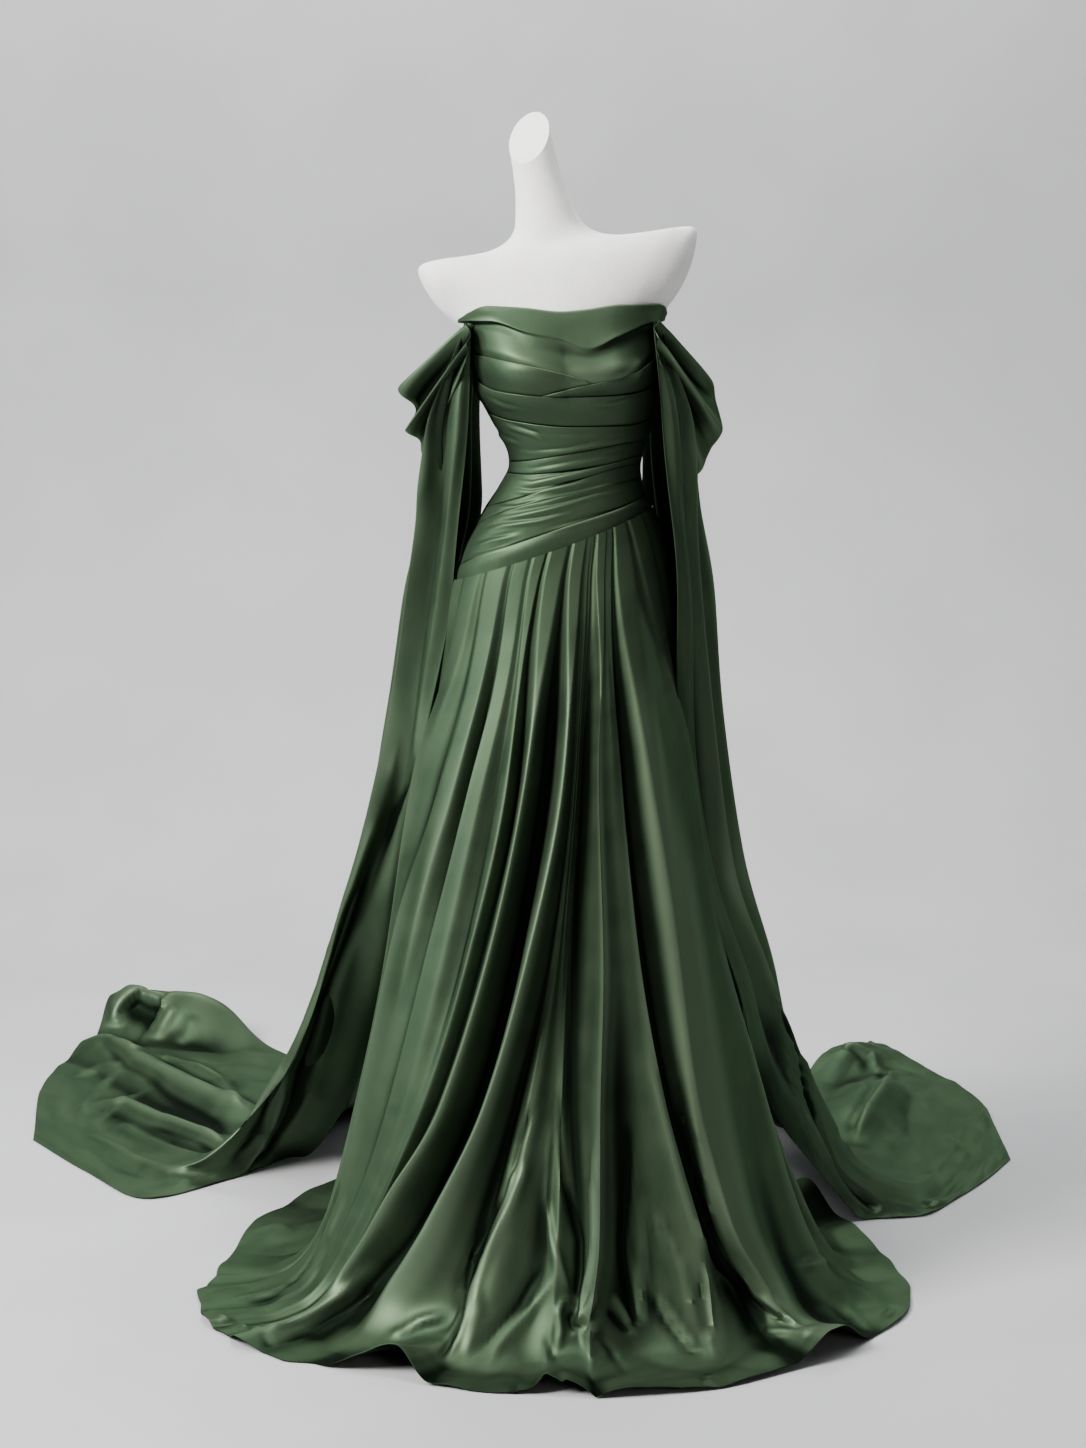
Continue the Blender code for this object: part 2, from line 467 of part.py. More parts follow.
def skirt_point(place, share):
    """A point of the skirt's outer face. place counts folds round it, and share runs from the seam to the hem."""
    angle_deg, crest, depth, arch, reach = fold_at(place, share)
    a = math.radians(angle_deg)
    wide = SKIRT["right"] if math.sin(a) > 0 else SKIRT["left"]
    deep = SKIRT["front"] if math.cos(a) > 0 else SKIRT["back"]
    spread = reach * ease(share, 0.78, 1.0)
    rx, ry = through(share, SKIRT["share"], wide) + spread, through(share, SKIRT["share"], deep) + spread
    level = 1 - ease(share, 0, SEAM_FADE)
    z = through(share, SKIRT["share"], SKIRT["z"]) + (seam_height(angle_deg) - SKIRT["z"][0] - 0.0010) * level
    base = np.array([rx * math.sin(a), -ry * math.cos(a), z])
    hips = body_point(angle_deg, z, SKIN_GAP + BACK_LIFT + CLOTH)
    near = 1 - ease(share, 0.0, HIP_SHARE)
    base = base * (1 - near) + hips * near
    out = np.array([math.sin(a) / rx, -math.cos(a) / ry, 0.0])
    out /= np.linalg.norm(out)
    upright = 1 - ease(share, 0.74, 0.93)
    sunk = ease(share, 0.10, 0.36)  # on the hips the folds only stand out
    strength = (0.20 + 0.80 * ease(share, 0.0, 0.42)) * ease(share, -0.03, 0.07) * upright
    standing = (2 * crest - sunk) * depth * strength
    lying = ease(share, 0.76, 0.93)
    lift = crest**1.6 * (depth * 0.8 * (1 - ease(share, 0.90, 1.0)) + arch * ease(share, 0.84, 1.0)) * lying
    point = base + out * (standing + 0.35 * lift)
    point[2] = max(point[2] + lift, CLOTH)
    return point


def make_skirt(finish):
    seam = 0.006  # of a fold, on each side of a seam between two panels
    for name, (first, last) in SKIRT_PANELS.items():
        columns = np.linspace(first - 0.5 + seam, last - 0.5 - seam, (last - first) * SKIRT_COLUMNS_PER_FOLD + 1)
        grid = np.array([[skirt_point(place, share) for place in columns] for share in SKIRT_ROWS])
        cloth_wall(name, grid, CLOTH, finish)


# ---- the sleeves -----------------------------------------------------------------------------------
def arc_between(first, middle, last, t):
    """The point at t along a curve through three points that never overshoots them."""
    points = np.array([first, middle, last], float)
    legs = np.linalg.norm(np.diff(points, axis=0), axis=1)
    middle_t = np.clip(legs[0] / legs.sum(), 0.25, 0.75)
    return np.array([through(t, (0, middle_t, 1), column) for column in points.T])


def cape_section(table, row, t):
    """The point at t across one section, with row a fraction between the table's sections."""
    stations = np.arange(len(table["depth"]))
    ends = [
        np.array([through(row, stations, [p[axis] for p in table[edge]]) for axis in range(3)])
        for edge in ("front", "outer", "back")
    ]
    return arc_between(*ends, t)


def roll_height(x, y):
    """How high the folds on the floor stand at these places."""
    height = np.zeros_like(x)
    for (x0, y0), (x1, y1), wide, high in zip(*TRAIN_ROLLS.values()):
        run = np.array([x1 - x0, y1 - y0])
        length = np.linalg.norm(run)
        along = ((x - x0) * run[0] + (y - y0) * run[1]) / length
        aside = np.abs((x - x0) * run[1] - (y - y0) * run[0]) / length
        ends = ease(along, -wide, wide) * (1 - ease(along, length - wide, length + wide))
        height = np.maximum(height, high * ends * (1 - ease(aside, 0, wide)))
    return height


def cape_grid(table, outward, columns_per_fold=CAPE_COLUMNS_PER_FOLD, steps=CAPE_STEPS):
    stations = np.arange(len(table["depth"]))
    rows = np.linspace(0, stations[-1], stations[-1] * steps + 1)
    across = np.linspace(0, 1, CAPE_FOLDS * columns_per_fold + 1)
    smooth = np.array([[cape_section(table, row, t) for t in across] for row in rows])
    normals = outward * grid_normals(smooth)
    depth = through(rows, stations, table["depth"])[:, None]
    wave = np.sin(math.tau * CAPE_FOLDS * across[None, :]) * depth
    lying = ease(smooth[:, :, 2], 0.06, 0.004)
    wave = wave * (1 - lying) + np.maximum(wave, 0) * lying
    grid = smooth + normals * wave[:, :, None]
    grid[:, :, 2] += roll_height(grid[:, :, 0], grid[:, :, 1]) * lying
    grid[:, :, 2] = np.maximum(grid[:, :, 2], CLOTH)
    return grid


def make_capes(finish):
    for name, table, outward in (("cape_left", CAPE_LEFT, -1.0), ("cape_right", CAPE_RIGHT, 1.0)):
        cloth_wall(name, cape_grid(table, outward), CLOTH, finish, outward)


def swag_grid(table, columns, rows):
    """The drape round the upper arm: a U from the front corner to the back one, with folds that fan out."""
    grid = []
    for w in np.linspace(0, 1, rows):
        line = []
        for t in np.linspace(0, 1, columns):
            top, bottom = arc_between(*table["top"], t), arc_between(*table["bottom"], t)
            point = top + (bottom - top) * w
            away = point * (1, 1, 0) - np.array([0, 0.03, 0])
            away /= np.linalg.norm(away)
            round_out = math.sin(math.pi * t) ** 0.7
            wave = (SWAG_FOLD * math.cos(math.tau * 1.5 * w) + SWAG_BULGE * math.sin(math.pi * w)) * round_out
            line.append(point + away * wave)
        grid.append(line)
    return np.array(grid)


def make_swags(finish):
    for name, table, outward in (("swag_left", SWAG_LEFT, -1.0), ("swag_right", SWAG_RIGHT, 1.0)):
        cloth_wall(name, swag_grid(table, SWAG_COLUMNS, SWAG_ROWS), CLOTH, finish, outward)


def main():
    for old in list(bpy.data.objects):
        bpy.data.objects.remove(old)
    satin = material("green_satin", GREEN, 0.38)
    shell = material("form_white", WHITE, 0.65)
    steel = material("stand_steel", STEEL, 0.30, metallic=1.0)
    make_form(shell)
    make_stand(steel)
    layers = Layers()
    make_cowl(layers, satin)
    make_pleats(layers, satin)
    make_back(satin)
    make_skirt(satin)
    make_capes(satin)
    make_swags(satin)


main()
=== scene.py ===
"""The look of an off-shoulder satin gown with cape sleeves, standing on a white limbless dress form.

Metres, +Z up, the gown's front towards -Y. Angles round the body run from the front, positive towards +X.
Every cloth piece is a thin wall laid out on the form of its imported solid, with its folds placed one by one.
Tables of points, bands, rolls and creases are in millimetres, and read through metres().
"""

import logging
import math
from collections.abc import Sequence
from dataclasses import dataclass, field, replace
from enum import Enum, auto

import bpy
import numpy as np
from bpy.types import Material, NodeSocket, Object
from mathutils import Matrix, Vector


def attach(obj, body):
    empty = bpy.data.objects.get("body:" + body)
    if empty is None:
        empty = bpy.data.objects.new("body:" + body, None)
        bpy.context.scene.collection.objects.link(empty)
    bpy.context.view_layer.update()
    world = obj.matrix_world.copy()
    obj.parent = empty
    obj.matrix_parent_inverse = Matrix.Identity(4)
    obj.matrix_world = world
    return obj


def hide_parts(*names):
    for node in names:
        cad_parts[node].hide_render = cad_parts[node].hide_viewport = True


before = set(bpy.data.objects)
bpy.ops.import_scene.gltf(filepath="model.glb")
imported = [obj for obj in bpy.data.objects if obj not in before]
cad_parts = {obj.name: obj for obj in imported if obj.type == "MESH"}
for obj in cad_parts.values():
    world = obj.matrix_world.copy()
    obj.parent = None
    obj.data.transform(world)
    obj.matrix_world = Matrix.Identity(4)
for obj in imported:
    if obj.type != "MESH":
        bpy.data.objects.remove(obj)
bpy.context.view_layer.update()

log = logging.getLogger("gown")
Array = np.ndarray
Colour = tuple[float, float, float, float]
Pair = tuple[float, float]
Place = tuple[float, float, float]
Row = tuple[float, ...]
MM = 0.001
RIGHT_ANGLE = math.pi / 2


class Slot(Enum):
    """Two finishes' names; the script doesn't use them."""

    SATIN = "green_satin"
    SHELL = "form_shell"


class Held(Enum):
    """How a sheet of cloth is held."""

    DRAPED = "draped"
    GATHERED = "gathered"
    LAID = "laid"
    STRETCHED = "stretched"


class Edge(Enum):
    """An edge of a cloth's grid."""

    FIRST_ROW = auto()
    LAST_ROW = auto()
    FIRST_COLUMN = auto()
    LAST_COLUMN = auto()


# ---- curves and grids
def metres(millimetres: Sequence) -> Array:
    """A table's millimetres in metres."""
    return np.asarray(millimetres, float) / 1000.0


def cubic(start: Array, end: Array, out: Array, into: Array, run: Array, t: Array) -> Array:
    """A cubic leg of a curve.

    Args:
        start: Where it starts.
        end: Where it ends.
        out: Its slope at the start.
        into: Its slope at the end.
        run: How long it is.
        t: How far along, from 0 to 1.

    Returns:
        The points there.
    """
    return (
        (2 * t**3 - 3 * t**2 + 1) * start
        + (t**3 - 2 * t**2 + t) * run * out
        + (3 * t**2 - 2 * t**3) * end
        + (t**3 - t**2) * run * into
    )


def through(x: Array | float, stations: Sequence[float], values: Sequence[float]) -> Array:
    """A smooth curve through a table's points that never overshoots them.

    Args:
        x: Where the curve is read.
        stations: The table's places, rising.
        values: The table's values.

    Returns:
        The curve's values at x.
    """
    xs, ys = np.asarray(stations, float), np.asarray(values, float)
    steps = np.diff(xs)
    slopes = np.diff(ys) / steps
    tangents = np.zeros_like(ys)
    tangents[0], tangents[-1] = slopes[0], slopes[-1]
    wide, narrow = 2 * steps[1:] + steps[:-1], steps[1:] + 2 * steps[:-1]
    with np.errstate(divide="ignore", invalid="ignore"):
        mean = (wide + narrow) / (wide / slopes[:-1] + narrow / slopes[1:])
    tangents[1:-1] = np.where(slopes[:-1] * slopes[1:] > 0, mean, 0.0)
    x = np.clip(x, xs[0], xs[-1])
    i = np.clip(np.searchsorted(xs, x, side="right") - 1, 0, len(steps) - 1)
    return cubic(ys[i], ys[i + 1], tangents[i], tangents[i + 1], steps[i], (x - xs[i]) / steps[i])


def ease(x: Array | float, start: float, end: float) -> Array:
    """0 before start, 1 after end, smooth between."""
    t = np.clip((x - start) / (end - start), 0.0, 1.0)
    return t * t * (3 - 2 * t)


def bell(x: Array) -> Array:
    """A soft bump: 1 at 0, falling to nothing about 2 away."""
    return np.exp(-np.square(x))


def lattice_normals(grid: Array) -> Array:
    """Unit normals of a grid of points, from the directions down its rows and along its columns."""
    normals = np.cross(np.gradient(grid, axis=0), np.gradient(grid, axis=1))
    return normals / np.maximum(np.linalg.norm(normals, axis=2, keepdims=True), 1e-12)


def arc_between(first: Array, middle: Array, last: Array, t: Array) -> Array:
    """Points along curves through three points, one curve for each row.

    Args:
        first: Each row's first point, rows by 3.
        middle: Each row's middle point.
        last: Each row's last point.
        t: How far along, rows by columns, from 0 to 1.

    Returns:
        Points, rows by columns by 3.
    """
    leg_a, leg_b = np.linalg.norm(middle - first, axis=-1), np.linalg.norm(last - middle, axis=-1)
    knee = np.clip(leg_a / (leg_a + leg_b), 0.25, 0.75)[:, None, None]
    slope_a, slope_b = (middle - first)[:, None, :] / knee, (last - middle)[:, None, :] / (1 - knee)
    wide, narrow = 2 * (1 - knee) + knee, (1 - knee) + 2 * knee
    with np.errstate(divide="ignore", invalid="ignore"):
        mean = 3.0 / (wide / slope_a + narrow / slope_b)
    bend = np.where(slope_a * slope_b > 0, mean, 0.0)
    t = t[:, :, None]
    here, past = np.minimum(t / knee, 1.0), np.maximum((t - knee) / (1 - knee), 0.0)
    before = cubic(first[:, None], middle[:, None], slope_a, bend, knee, here)
    after = cubic(middle[:, None], last[:, None], bend, slope_b, 1 - knee, past)
    return np.where(t < knee, before, after)


def ripple(u: Array, v: Array, seed: int, waves: int = 7) -> Array:
    """Gentle unevenness without a pattern, about -1 to 1.

    Args:
        u: First coordinate, in wavelengths.
        v: Second coordinate, in wavelengths.
        seed: Which unevenness.
        waves: How many waves are added up.

    Returns:
        The unevenness at each place.
    """
    chance = np.random.default_rng(seed)
    total = np.zeros(np.broadcast(u, v).shape)
    turns, phases = chance.uniform(0, math.tau, waves), chance.uniform(0, math.tau, waves)
    for turn, phase, size in zip(turns, phases, chance.uniform(0.6, 1.5, waves)):
        total += np.sin(math.tau * size * (u * math.cos(turn) + v * math.sin(turn)) + phase)
    return total / waves**0.5


def blurred(grid: Array, radius: float) -> Array:
    """A grid smoothed along its rows and columns over about this radius, in metres.

    Args:
        grid: Points, rows by columns by 3.
        radius: Over how far, in metres.

    Returns:
        The smoothed points.
    """
    soft = grid
    for axis in (0, 1):
        spacing = float(np.median(np.linalg.norm(np.diff(grid, axis=axis), axis=2)))
        reach = int(np.clip(round(radius / max(spacing, 1e-5)), 1, grid.shape[axis] // 3))
        for _ in range(2):
            before, after = (np.repeat(soft.take([end], axis), reach, axis) for end in (0, -1))
            total = np.cumsum(np.concatenate([before, soft, after], axis), axis=axis)
            total = np.concatenate([np.zeros_like(total.take([0], axis)), total], axis)
            count = 2 * reach + 1
            size = grid.shape[axis]
            soft = (total.take(range(count, count + size), axis) - total.take(range(size), axis)) / count
    return soft


@dataclass(frozen=True)
class Crease:
    """A soft ridge or trough laid on a grid along a short path."""

    path: tuple[Row, ...]  # points in millimetres: (x, y, z), or (x, z) as seen from the front
    wide: float  # half width in millimetres
    high: float  # millimetres along the normal; below zero a trough
    fade: Pair = (0.25, 0.25)  # the share of its length over which each end dies out
    step: float = 0.0  # -1 to 1: how much wider its left side is than its right

    def lift(self, grid: Array, normals: Array) -> Array:
        """How far each point of a grid moves along its normal, in metres.

        Args:
            grid: The points.
            normals: Their unit normals.

        Returns:
            The lift of each point.
        """
        seen = np.array((1.0, 0.0, 1.0) if len(self.path[0]) == 2 else (1.0, 1.0, 1.0))
        path = metres([(p[0], 0.0, p[1]) if len(p) == 2 else p for p in self.path])
        runs = np.diff(path, axis=0)
        lengths = np.linalg.norm(runs, axis=1)
        ends = np.concatenate([[0.0], np.cumsum(lengths)])
        best = np.full(grid.shape[:2], np.inf)
        along, side = np.zeros_like(best), np.zeros_like(best)
        for start, run, length, done in zip(path, runs, lengths, ends):
            away = grid * seen - start
            t = np.clip((away @ run) / length**2, 0, 1)
            gap = away - t[..., None] * run
            distance = np.linalg.norm(gap, axis=-1)
            nearer = distance < best
            best = np.where(nearer, distance, best)
            along = np.where(nearer, done + t * length, along)
            side = np.where(nearer, np.sign(np.sum(np.cross(run, gap) * normals, axis=-1)), side)
        share = along / ends[-1]
        rise, fall = (max(fade, 1e-6) for fade in self.fade)
        strength = ease(share, 0.0, rise) * (1 - ease(share, 1 - fall, 1.0))
        strength = np.where(share <= 0, float(self.fade[0] <= 0), strength)
        reach = self.wide * MM * (1 + self.step * side)
        return self.high * MM * strength * bell(best / np.maximum(reach, 1e-4) * 1.3)


def creased(grid: Array, creases: Sequence[Crease], outward: float = 1.0, soft: float = 0.0) -> Array:
    """A grid with all its creases laid on, each along the grid's own normals or along softened ones.

    Args:
        grid: The points.
        creases: What is laid on them.
        outward: -1 where their normals point in.
        soft: Over which radius the normals are softened, or 0.

    Returns:
        The moved points.
    """
    normals = outward * lattice_normals(blurred(grid, soft) if soft else grid)
    lift = sum((crease.lift(grid, normals) for crease in creases), np.zeros(grid.shape[:2]))
    return grid + normals * lift[..., None]


# ---- meshes
@dataclass
class Wall:
    """A closed wall of cloth: its outer face is a grid, its inner face lies one thickness inside."""

    name: str
    grid: Array
    thickness: float
    outward: float = 1.0
    hemmed: tuple[Edge, ...] = ()
    relief: float = 0.022  # the size of the folds whose hollows get painted shade, in metres
    painted_cover_shade: Array | None = None  # painted shade, 1 where another layer covers the cloth, rows by columns
    full_depth: float = 0.3  # the depth that counts as 1, as a share of the relief
    inside_shade: float = 0.6  # the least painted shade on the inner face

    def hollow(self) -> Array:
        """How deep each point lies between its neighbours: above 0 in a valley, below 0 on a crest, plus the
        painted shade of covering layers. Above 0 it paints shade into the colour, below 0 a highlight.

        Returns:
            The depth of each point.
        """
        gap = blurred(self.grid, self.relief) - self.grid
        deep = np.sum(gap * lattice_normals(self.grid), axis=2) * self.outward
        deep = deep / (self.full_depth * self.relief)
        return deep if self.painted_cover_shade is None else deep + self.painted_cover_shade

    def flat_places(self) -> Array:
        """Where each point lies on the flat cloth, and how far it is from the nearest hem, in metres.

        Returns:
            Across, down and distance from the hem, rows by columns by 3.
        """
        down = np.linalg.norm(np.diff(self.grid, axis=0), axis=2).mean(axis=1)
        across = np.linalg.norm(np.diff(self.grid, axis=1), axis=2)
        v = np.concatenate([[0.0], np.cumsum(down)])
        u = np.concatenate([np.zeros((self.grid.shape[0], 1)), np.cumsum(across, axis=1)], axis=1)
        places = {
            Edge.FIRST_ROW: v[:, None],
            Edge.LAST_ROW: (v[-1] - v)[:, None],
            Edge.FIRST_COLUMN: u,
            Edge.LAST_COLUMN: u[:, -1:] - u,
        }
        away = np.full(u.shape, 1.0)
        for edge in self.hemmed:
            away = np.minimum(away, places[edge])
        return np.stack([u - u.mean(), np.broadcast_to(v[:, None], u.shape), away], -1)

    def build(self, floor: float | None = None) -> Object:
        """Makes the mesh object.

        Args:
            floor: No point goes below this height.

        Returns:
            The new object, linked to the scene.
        """
        rows, columns = self.grid.shape[:2]
        inner = self.grid - self.outward * self.thickness * lattice_normals(self.grid)
        if floor is not None:
            inner[:, :, 2] = np.maximum(inner[:, :, 2], floor)
        under = rows * columns
        index = np.arange(under).reshape(rows, columns)
        a, b, c, d = index[:-1, :-1], index[1:, :-1], index[1:, 1:], index[:-1, 1:]
        outer_faces = np.stack([a, b, c, d], -1).reshape(-1, 4)
        inner_faces = np.stack([a, d, c, b], -1).reshape(-1, 4) + under
        rim = np.concatenate([index[0], index[1:, -1], index[-1, -2::-1], index[-2:0:-1, 0]])
        after = np.roll(rim, -1)
        rim_faces = np.stack([rim, after, after + under, rim + under], -1)
        faces = np.concatenate([outer_faces, inner_faces, rim_faces])
        if self.outward < 0:
            faces = faces[:, ::-1]
        points = np.concatenate([self.grid.reshape(-1, 3), inner.reshape(-1, 3)])
        places = self.flat_places().reshape(-1, 3)
        made = make_object(self.name, points, faces, np.concatenate([places, places]))
        # painted shade and highlight: this depth darkens the satin's colour in valleys and lightens it on
        # crests
        hollow = self.hollow().ravel()
        deep = made.data.attributes.new("hollow", "FLOAT", "POINT")
        # the inner face always gets painted shade, at least inside_shade of it
        inside = np.maximum(-hollow, self.inside_shade)
        deep.data.foreach_set("value", np.concatenate([hollow, inside]).astype(np.float32))
        return made


def make_object(name: str, points: Array, faces: Array, places: Array | None = None) -> Object:
    """Makes a smooth mesh object from points and equal faces.

    Args:
        name: The object's name.
        points: Its vertices.
        faces: Its faces, all with the same number of corners.
        places: Each vertex's place on the flat cloth, kept as the attribute "cut".

    Returns:
        The new object, linked to the scene.
    """
    corners = faces.shape[1]
    mesh = bpy.data.meshes.new(name)
    mesh.vertices.add(len(points))
    mesh.vertices.foreach_set("co", points.astype(np.float32).ravel())
    mesh.loops.add(faces.size)
    mesh.loops.foreach_set("vertex_index", faces.astype(np.int32).ravel())
    mesh.polygons.add(len(faces))
    mesh.polygons.foreach_set("loop_start", np.arange(0, faces.size, corners, dtype=np.int32))
    mesh.update(calc_edges=True)
    mesh.validate()
    mesh.shade_smooth()
    mesh.set_sharp_from_angle(angle=math.radians(60))
    if places is not None:
        cut = mesh.attributes.new("cut", "FLOAT_VECTOR", "POINT")
        cut.data.foreach_set("vector", places.astype(np.float32).ravel())
    made = bpy.data.objects.new(name, mesh)
    bpy.context.scene.collection.objects.link(made)
    return made


def dress(
    piece: Object,
    finish: Material,
    nodes: Sequence[str],
) -> Object:
    """Gives a piece its finish and its body, and hides the solids that it stands for.

    Args:
        piece: The piece.
        finish: Its material.
        nodes: The solids.

    Returns:
        The piece.
    """
    piece.data.materials.clear()
    piece.data.materials.append(finish)
    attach(piece, "root")
    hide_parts(*nodes)
    log.info("%s: %d faces, for %s", piece.name, len(piece.data.polygons), ", ".join(nodes))
    return piece


@dataclass(frozen=True)
class Cut:
    """A sheet's flat cut, and how the sheet is held."""

    flat: Pair  # width and length, in metres
    held: Held
    rests_on: tuple[str, ...]
    area: float | None = None  # square metres, where the cut isn't a rectangle


def sew(wall: Wall, satin: Material, floor: float | None = None) -> None:
    """Args:
        wall: The wall, named after its solid with _satin added.
        satin: Its finish.
        floor: No point goes below this height.
    """
    piece = dress(wall.build(floor), satin, [wall.name.removesuffix("_satin")])


# ---- shader maths
class Graph:
    """A material's node tree, with one method that adds any node."""

    def __init__(self, name: str) -> None:
        """Starts a material with only its output.

        Args:
            name: The material's name.
        """
        self.material = bpy.data.materials.new(name)
        self.material.use_nodes = True
        self.tree = self.material.node_tree
        self.tree.nodes.clear()

    def add(
        self, kind: str, settings: dict | None = None, output: int | str = 0, **values: object
    ) -> "Signal":
        """Adds a node.

        Args:
            kind: The node's type.
            settings: Its properties, set first; "stops" is a ramp's list of places and colours.
            output: Which of its outputs is wanted.
            values: Its inputs by name, with _ for a space, or in_0, in_1 and so on by number.

        Returns:
            The wanted output.
        """
        node = self.tree.nodes.new(kind)
        for key, value in (settings or {}).items():
            if key == "stops":
                ramp = node.color_ramp
                while len(ramp.elements) < len(value):
                    ramp.elements.new(1.0)
                for stop, (place, colour) in zip(ramp.elements, value):
                    stop.position, stop.color = place, colour
            else:
                setattr(node, key, value)
        for key, value in values.items():
            place = int(key[3:]) if key.startswith("in_") else key.replace("_", " ")
            socket = node.inputs[place]
            if isinstance(value, Signal):
                self.tree.links.new(value.socket, socket)
            else:
                socket.default_value = value
        return Signal(self, node.outputs[output]) if len(node.outputs) else Signal(self, None)

    def finish(self, surface: "Signal") -> Material:
        """Joins the surface to the output and hands the material over."""
        self.add("ShaderNodeOutputMaterial", Surface=surface)
        return self.material


@dataclass(frozen=True)
class Signal:
    """A socket's number, on which Python's own operators add Math nodes."""

    graph: Graph
    socket: NodeSocket | None

    def _math(self, operation: str, a: object, b: object = 0.0) -> "Signal":
        """One Math node."""
        return self.graph.add("ShaderNodeMath", {"operation": operation}, in_0=a, in_1=b)

    def __add__(self, other: object) -> "Signal":
        """self + other."""
        return self._math("ADD", self, other)

    __radd__ = __add__

    def __mul__(self, other: object) -> "Signal":
        """self * other."""
        return self._math("MULTIPLY", self, other)

    __rmul__ = __mul__

    def __sub__(self, other: object) -> "Signal":
        """self - other."""
        return self._math("SUBTRACT", self, other)

    def __rsub__(self, other: object) -> "Signal":
        """other - self."""
        return self._math("SUBTRACT", other, self)

    def wave(self) -> "Signal":
        """The sine of self."""
        return self._math("SINE", self)

    def size(self) -> "Signal":
        """self without its sign."""
        return self._math("ABSOLUTE", self)

    def between(self, low: float, high: float, from_value: float = 0.0, to_value: float = 1.0) -> "Signal":
        """self mapped smoothly from one range to another, and held at its ends.

        Args:
            low: Where the first range starts.
            high: Where it ends.
            from_value: The value at its start.
            to_value: The value at its end.

        Returns:
            The mapped number.
        """
        return self.graph.add(
            "ShaderNodeMapRange", {"interpolation_type": "SMOOTHSTEP"},
            in_0=self, in_1=low, in_2=high, in_3=from_value, in_4=to_value,
        )

    def mix(self, first: object, second: object) -> "Signal":
        """Two colours mixed by self."""
        return self.graph.add("ShaderNodeMix", {"data_type": "RGBA"}, 2, in_0=self, in_6=first, in_7=second)


@dataclass(frozen=True)
class SatinFinish:
    """Heavy dark satin: a smooth float face with a fine weave under it, with painted shade in its hollows and
    painted highlights on its crests.
    """

    name: str = "green_duchess_satin"
    face: Colour = (0.053, 0.081, 0.047, 1.0)
    shade: Colour = (0.038, 0.062, 0.036, 1.0)
    # the crest colour is a painted highlight laid on crests, the deep colour painted shade laid in hollows
    painted_crest_highlight: Colour = (0.088, 0.128, 0.078, 1.0)
    deep: Colour = (0.005, 0.009, 0.005, 1.0)
    grazing: Colour = (0.27, 0.41, 0.30, 1.0)
    metallic: float = 0.70
    roughness: float = 0.49
    threads_per_metre: float = 1500.0
    weft: float = 0.4  # how many threads lie along the cloth for one across it
    slub_scale: Pair = (900.0, 28.0)
    stitches_per_metre: float = 320.0
    hem_width: float = 0.030
    seam_half: Pair = (0.0004, 0.0016)  # from where to where a line of stitches fades
    painted_shade_depths: Pair = (0.05, 0.95)  # between which depths a hollow gets painted shade
    painted_highlight_depths: Pair = (-0.30, -1.30)  # between which depths a crest gets a painted highlight

    def make(self) -> Material:
        """Builds the material.

        Returns:
            The material.
        """
        graph = Graph(self.name)
        cut = graph.add("ShaderNodeAttribute", {"attribute_name": "cut"}, "Vector")
        u = graph.add("ShaderNodeSeparateXYZ", in_0=cut)
        v, edge = (Signal(graph, u.socket.node.outputs[i]) for i in (1, 2))
        cloud = graph.add("ShaderNodeTexNoise", Vector=cut, Scale=9.0, Detail=3.0, Roughness=0.55)
        stretched = graph.add(
            "ShaderNodeCombineXYZ", X=u * self.slub_scale[0], Y=v * self.slub_scale[1], Z=0.0
        )
        slub = graph.add("ShaderNodeTexNoise", Vector=stretched, Scale=1.0, Detail=2.0)
        warp = (u * self.threads_per_metre * math.tau).wave()
        threads = warp * (v * self.threads_per_metre * self.weft * math.tau).wave()
        stitch = 1.0 - (edge - self.hem_width).size().between(*self.seam_half)
        along = v * self.stitches_per_metre * math.tau + u * self.stitches_per_metre * math.tau
        dimple = along.wave().between(-0.2, 0.8)
        colour = (cloud * 0.7 + slub * 0.3).between(0.35, 0.65).mix(self.shade, self.face)
        hollow = graph.add("ShaderNodeAttribute", {"attribute_name": "hollow"}, "Fac")
        # painted shade: the colour darkens towards the deep colour in hollows, under covering layers and on
        # the inner face
        colour = hollow.between(*self.painted_shade_depths).mix(colour, self.deep)
        # painted highlight: the colour lightens towards the crest colour on crests
        colour = hollow.between(*self.painted_highlight_depths).mix(colour, self.painted_crest_highlight)
        worn = cloud.between(0.3, 0.7, self.roughness - 0.03, self.roughness + 0.05)
        bump = graph.add(
            "ShaderNodeBump", Strength=0.16, Distance=0.0004,
            Height=slub * 0.8 + threads * 0.10 - stitch * dimple * 1.5,
        )
        return graph.finish(graph.add(
            "ShaderNodeBsdfPrincipled", Base_Color=colour, Roughness=worn + slub * 0.04 - 0.02,
            Metallic=self.metallic, Normal=bump, Specular_IOR_Level=0.10, Specular_Tint=self.grazing,
        ))


@dataclass(frozen=True)
class ShellFinish:
    """The form's white fibreglass, matt with a fine sprayed grain."""

    name: str = "white_form_shell"
    coat: Colour = (0.900, 0.885, 0.865, 1.0)
    speck: Colour = (0.800, 0.780, 0.755, 1.0)

    def make(self) -> Material:
        """Builds the material.

        Returns:
            The material.
        """
        graph = Graph(self.name)
        place = graph.add("ShaderNodeTexCoord", output="Object")
        grain = graph.add("ShaderNodeTexNoise", Vector=place, Scale=420.0, Detail=3.0, Roughness=0.6)
        cloud = graph.add("ShaderNodeTexNoise", Vector=place, Scale=14.0, Detail=2.0)
        colour = (grain * 0.6 + cloud * 0.4).between(0.38, 0.60).mix(self.speck, self.coat)
        bump = graph.add("ShaderNodeBump", Strength=0.22, Distance=0.0006, Height=grain)
        surface = graph.add(
            "ShaderNodeBsdfPrincipled", Base_Color=colour, Roughness=grain.between(0.3, 0.7, 0.62, 0.78),
            Normal=bump, Specular_IOR_Level=0.30,
        )
        return graph.finish(surface)


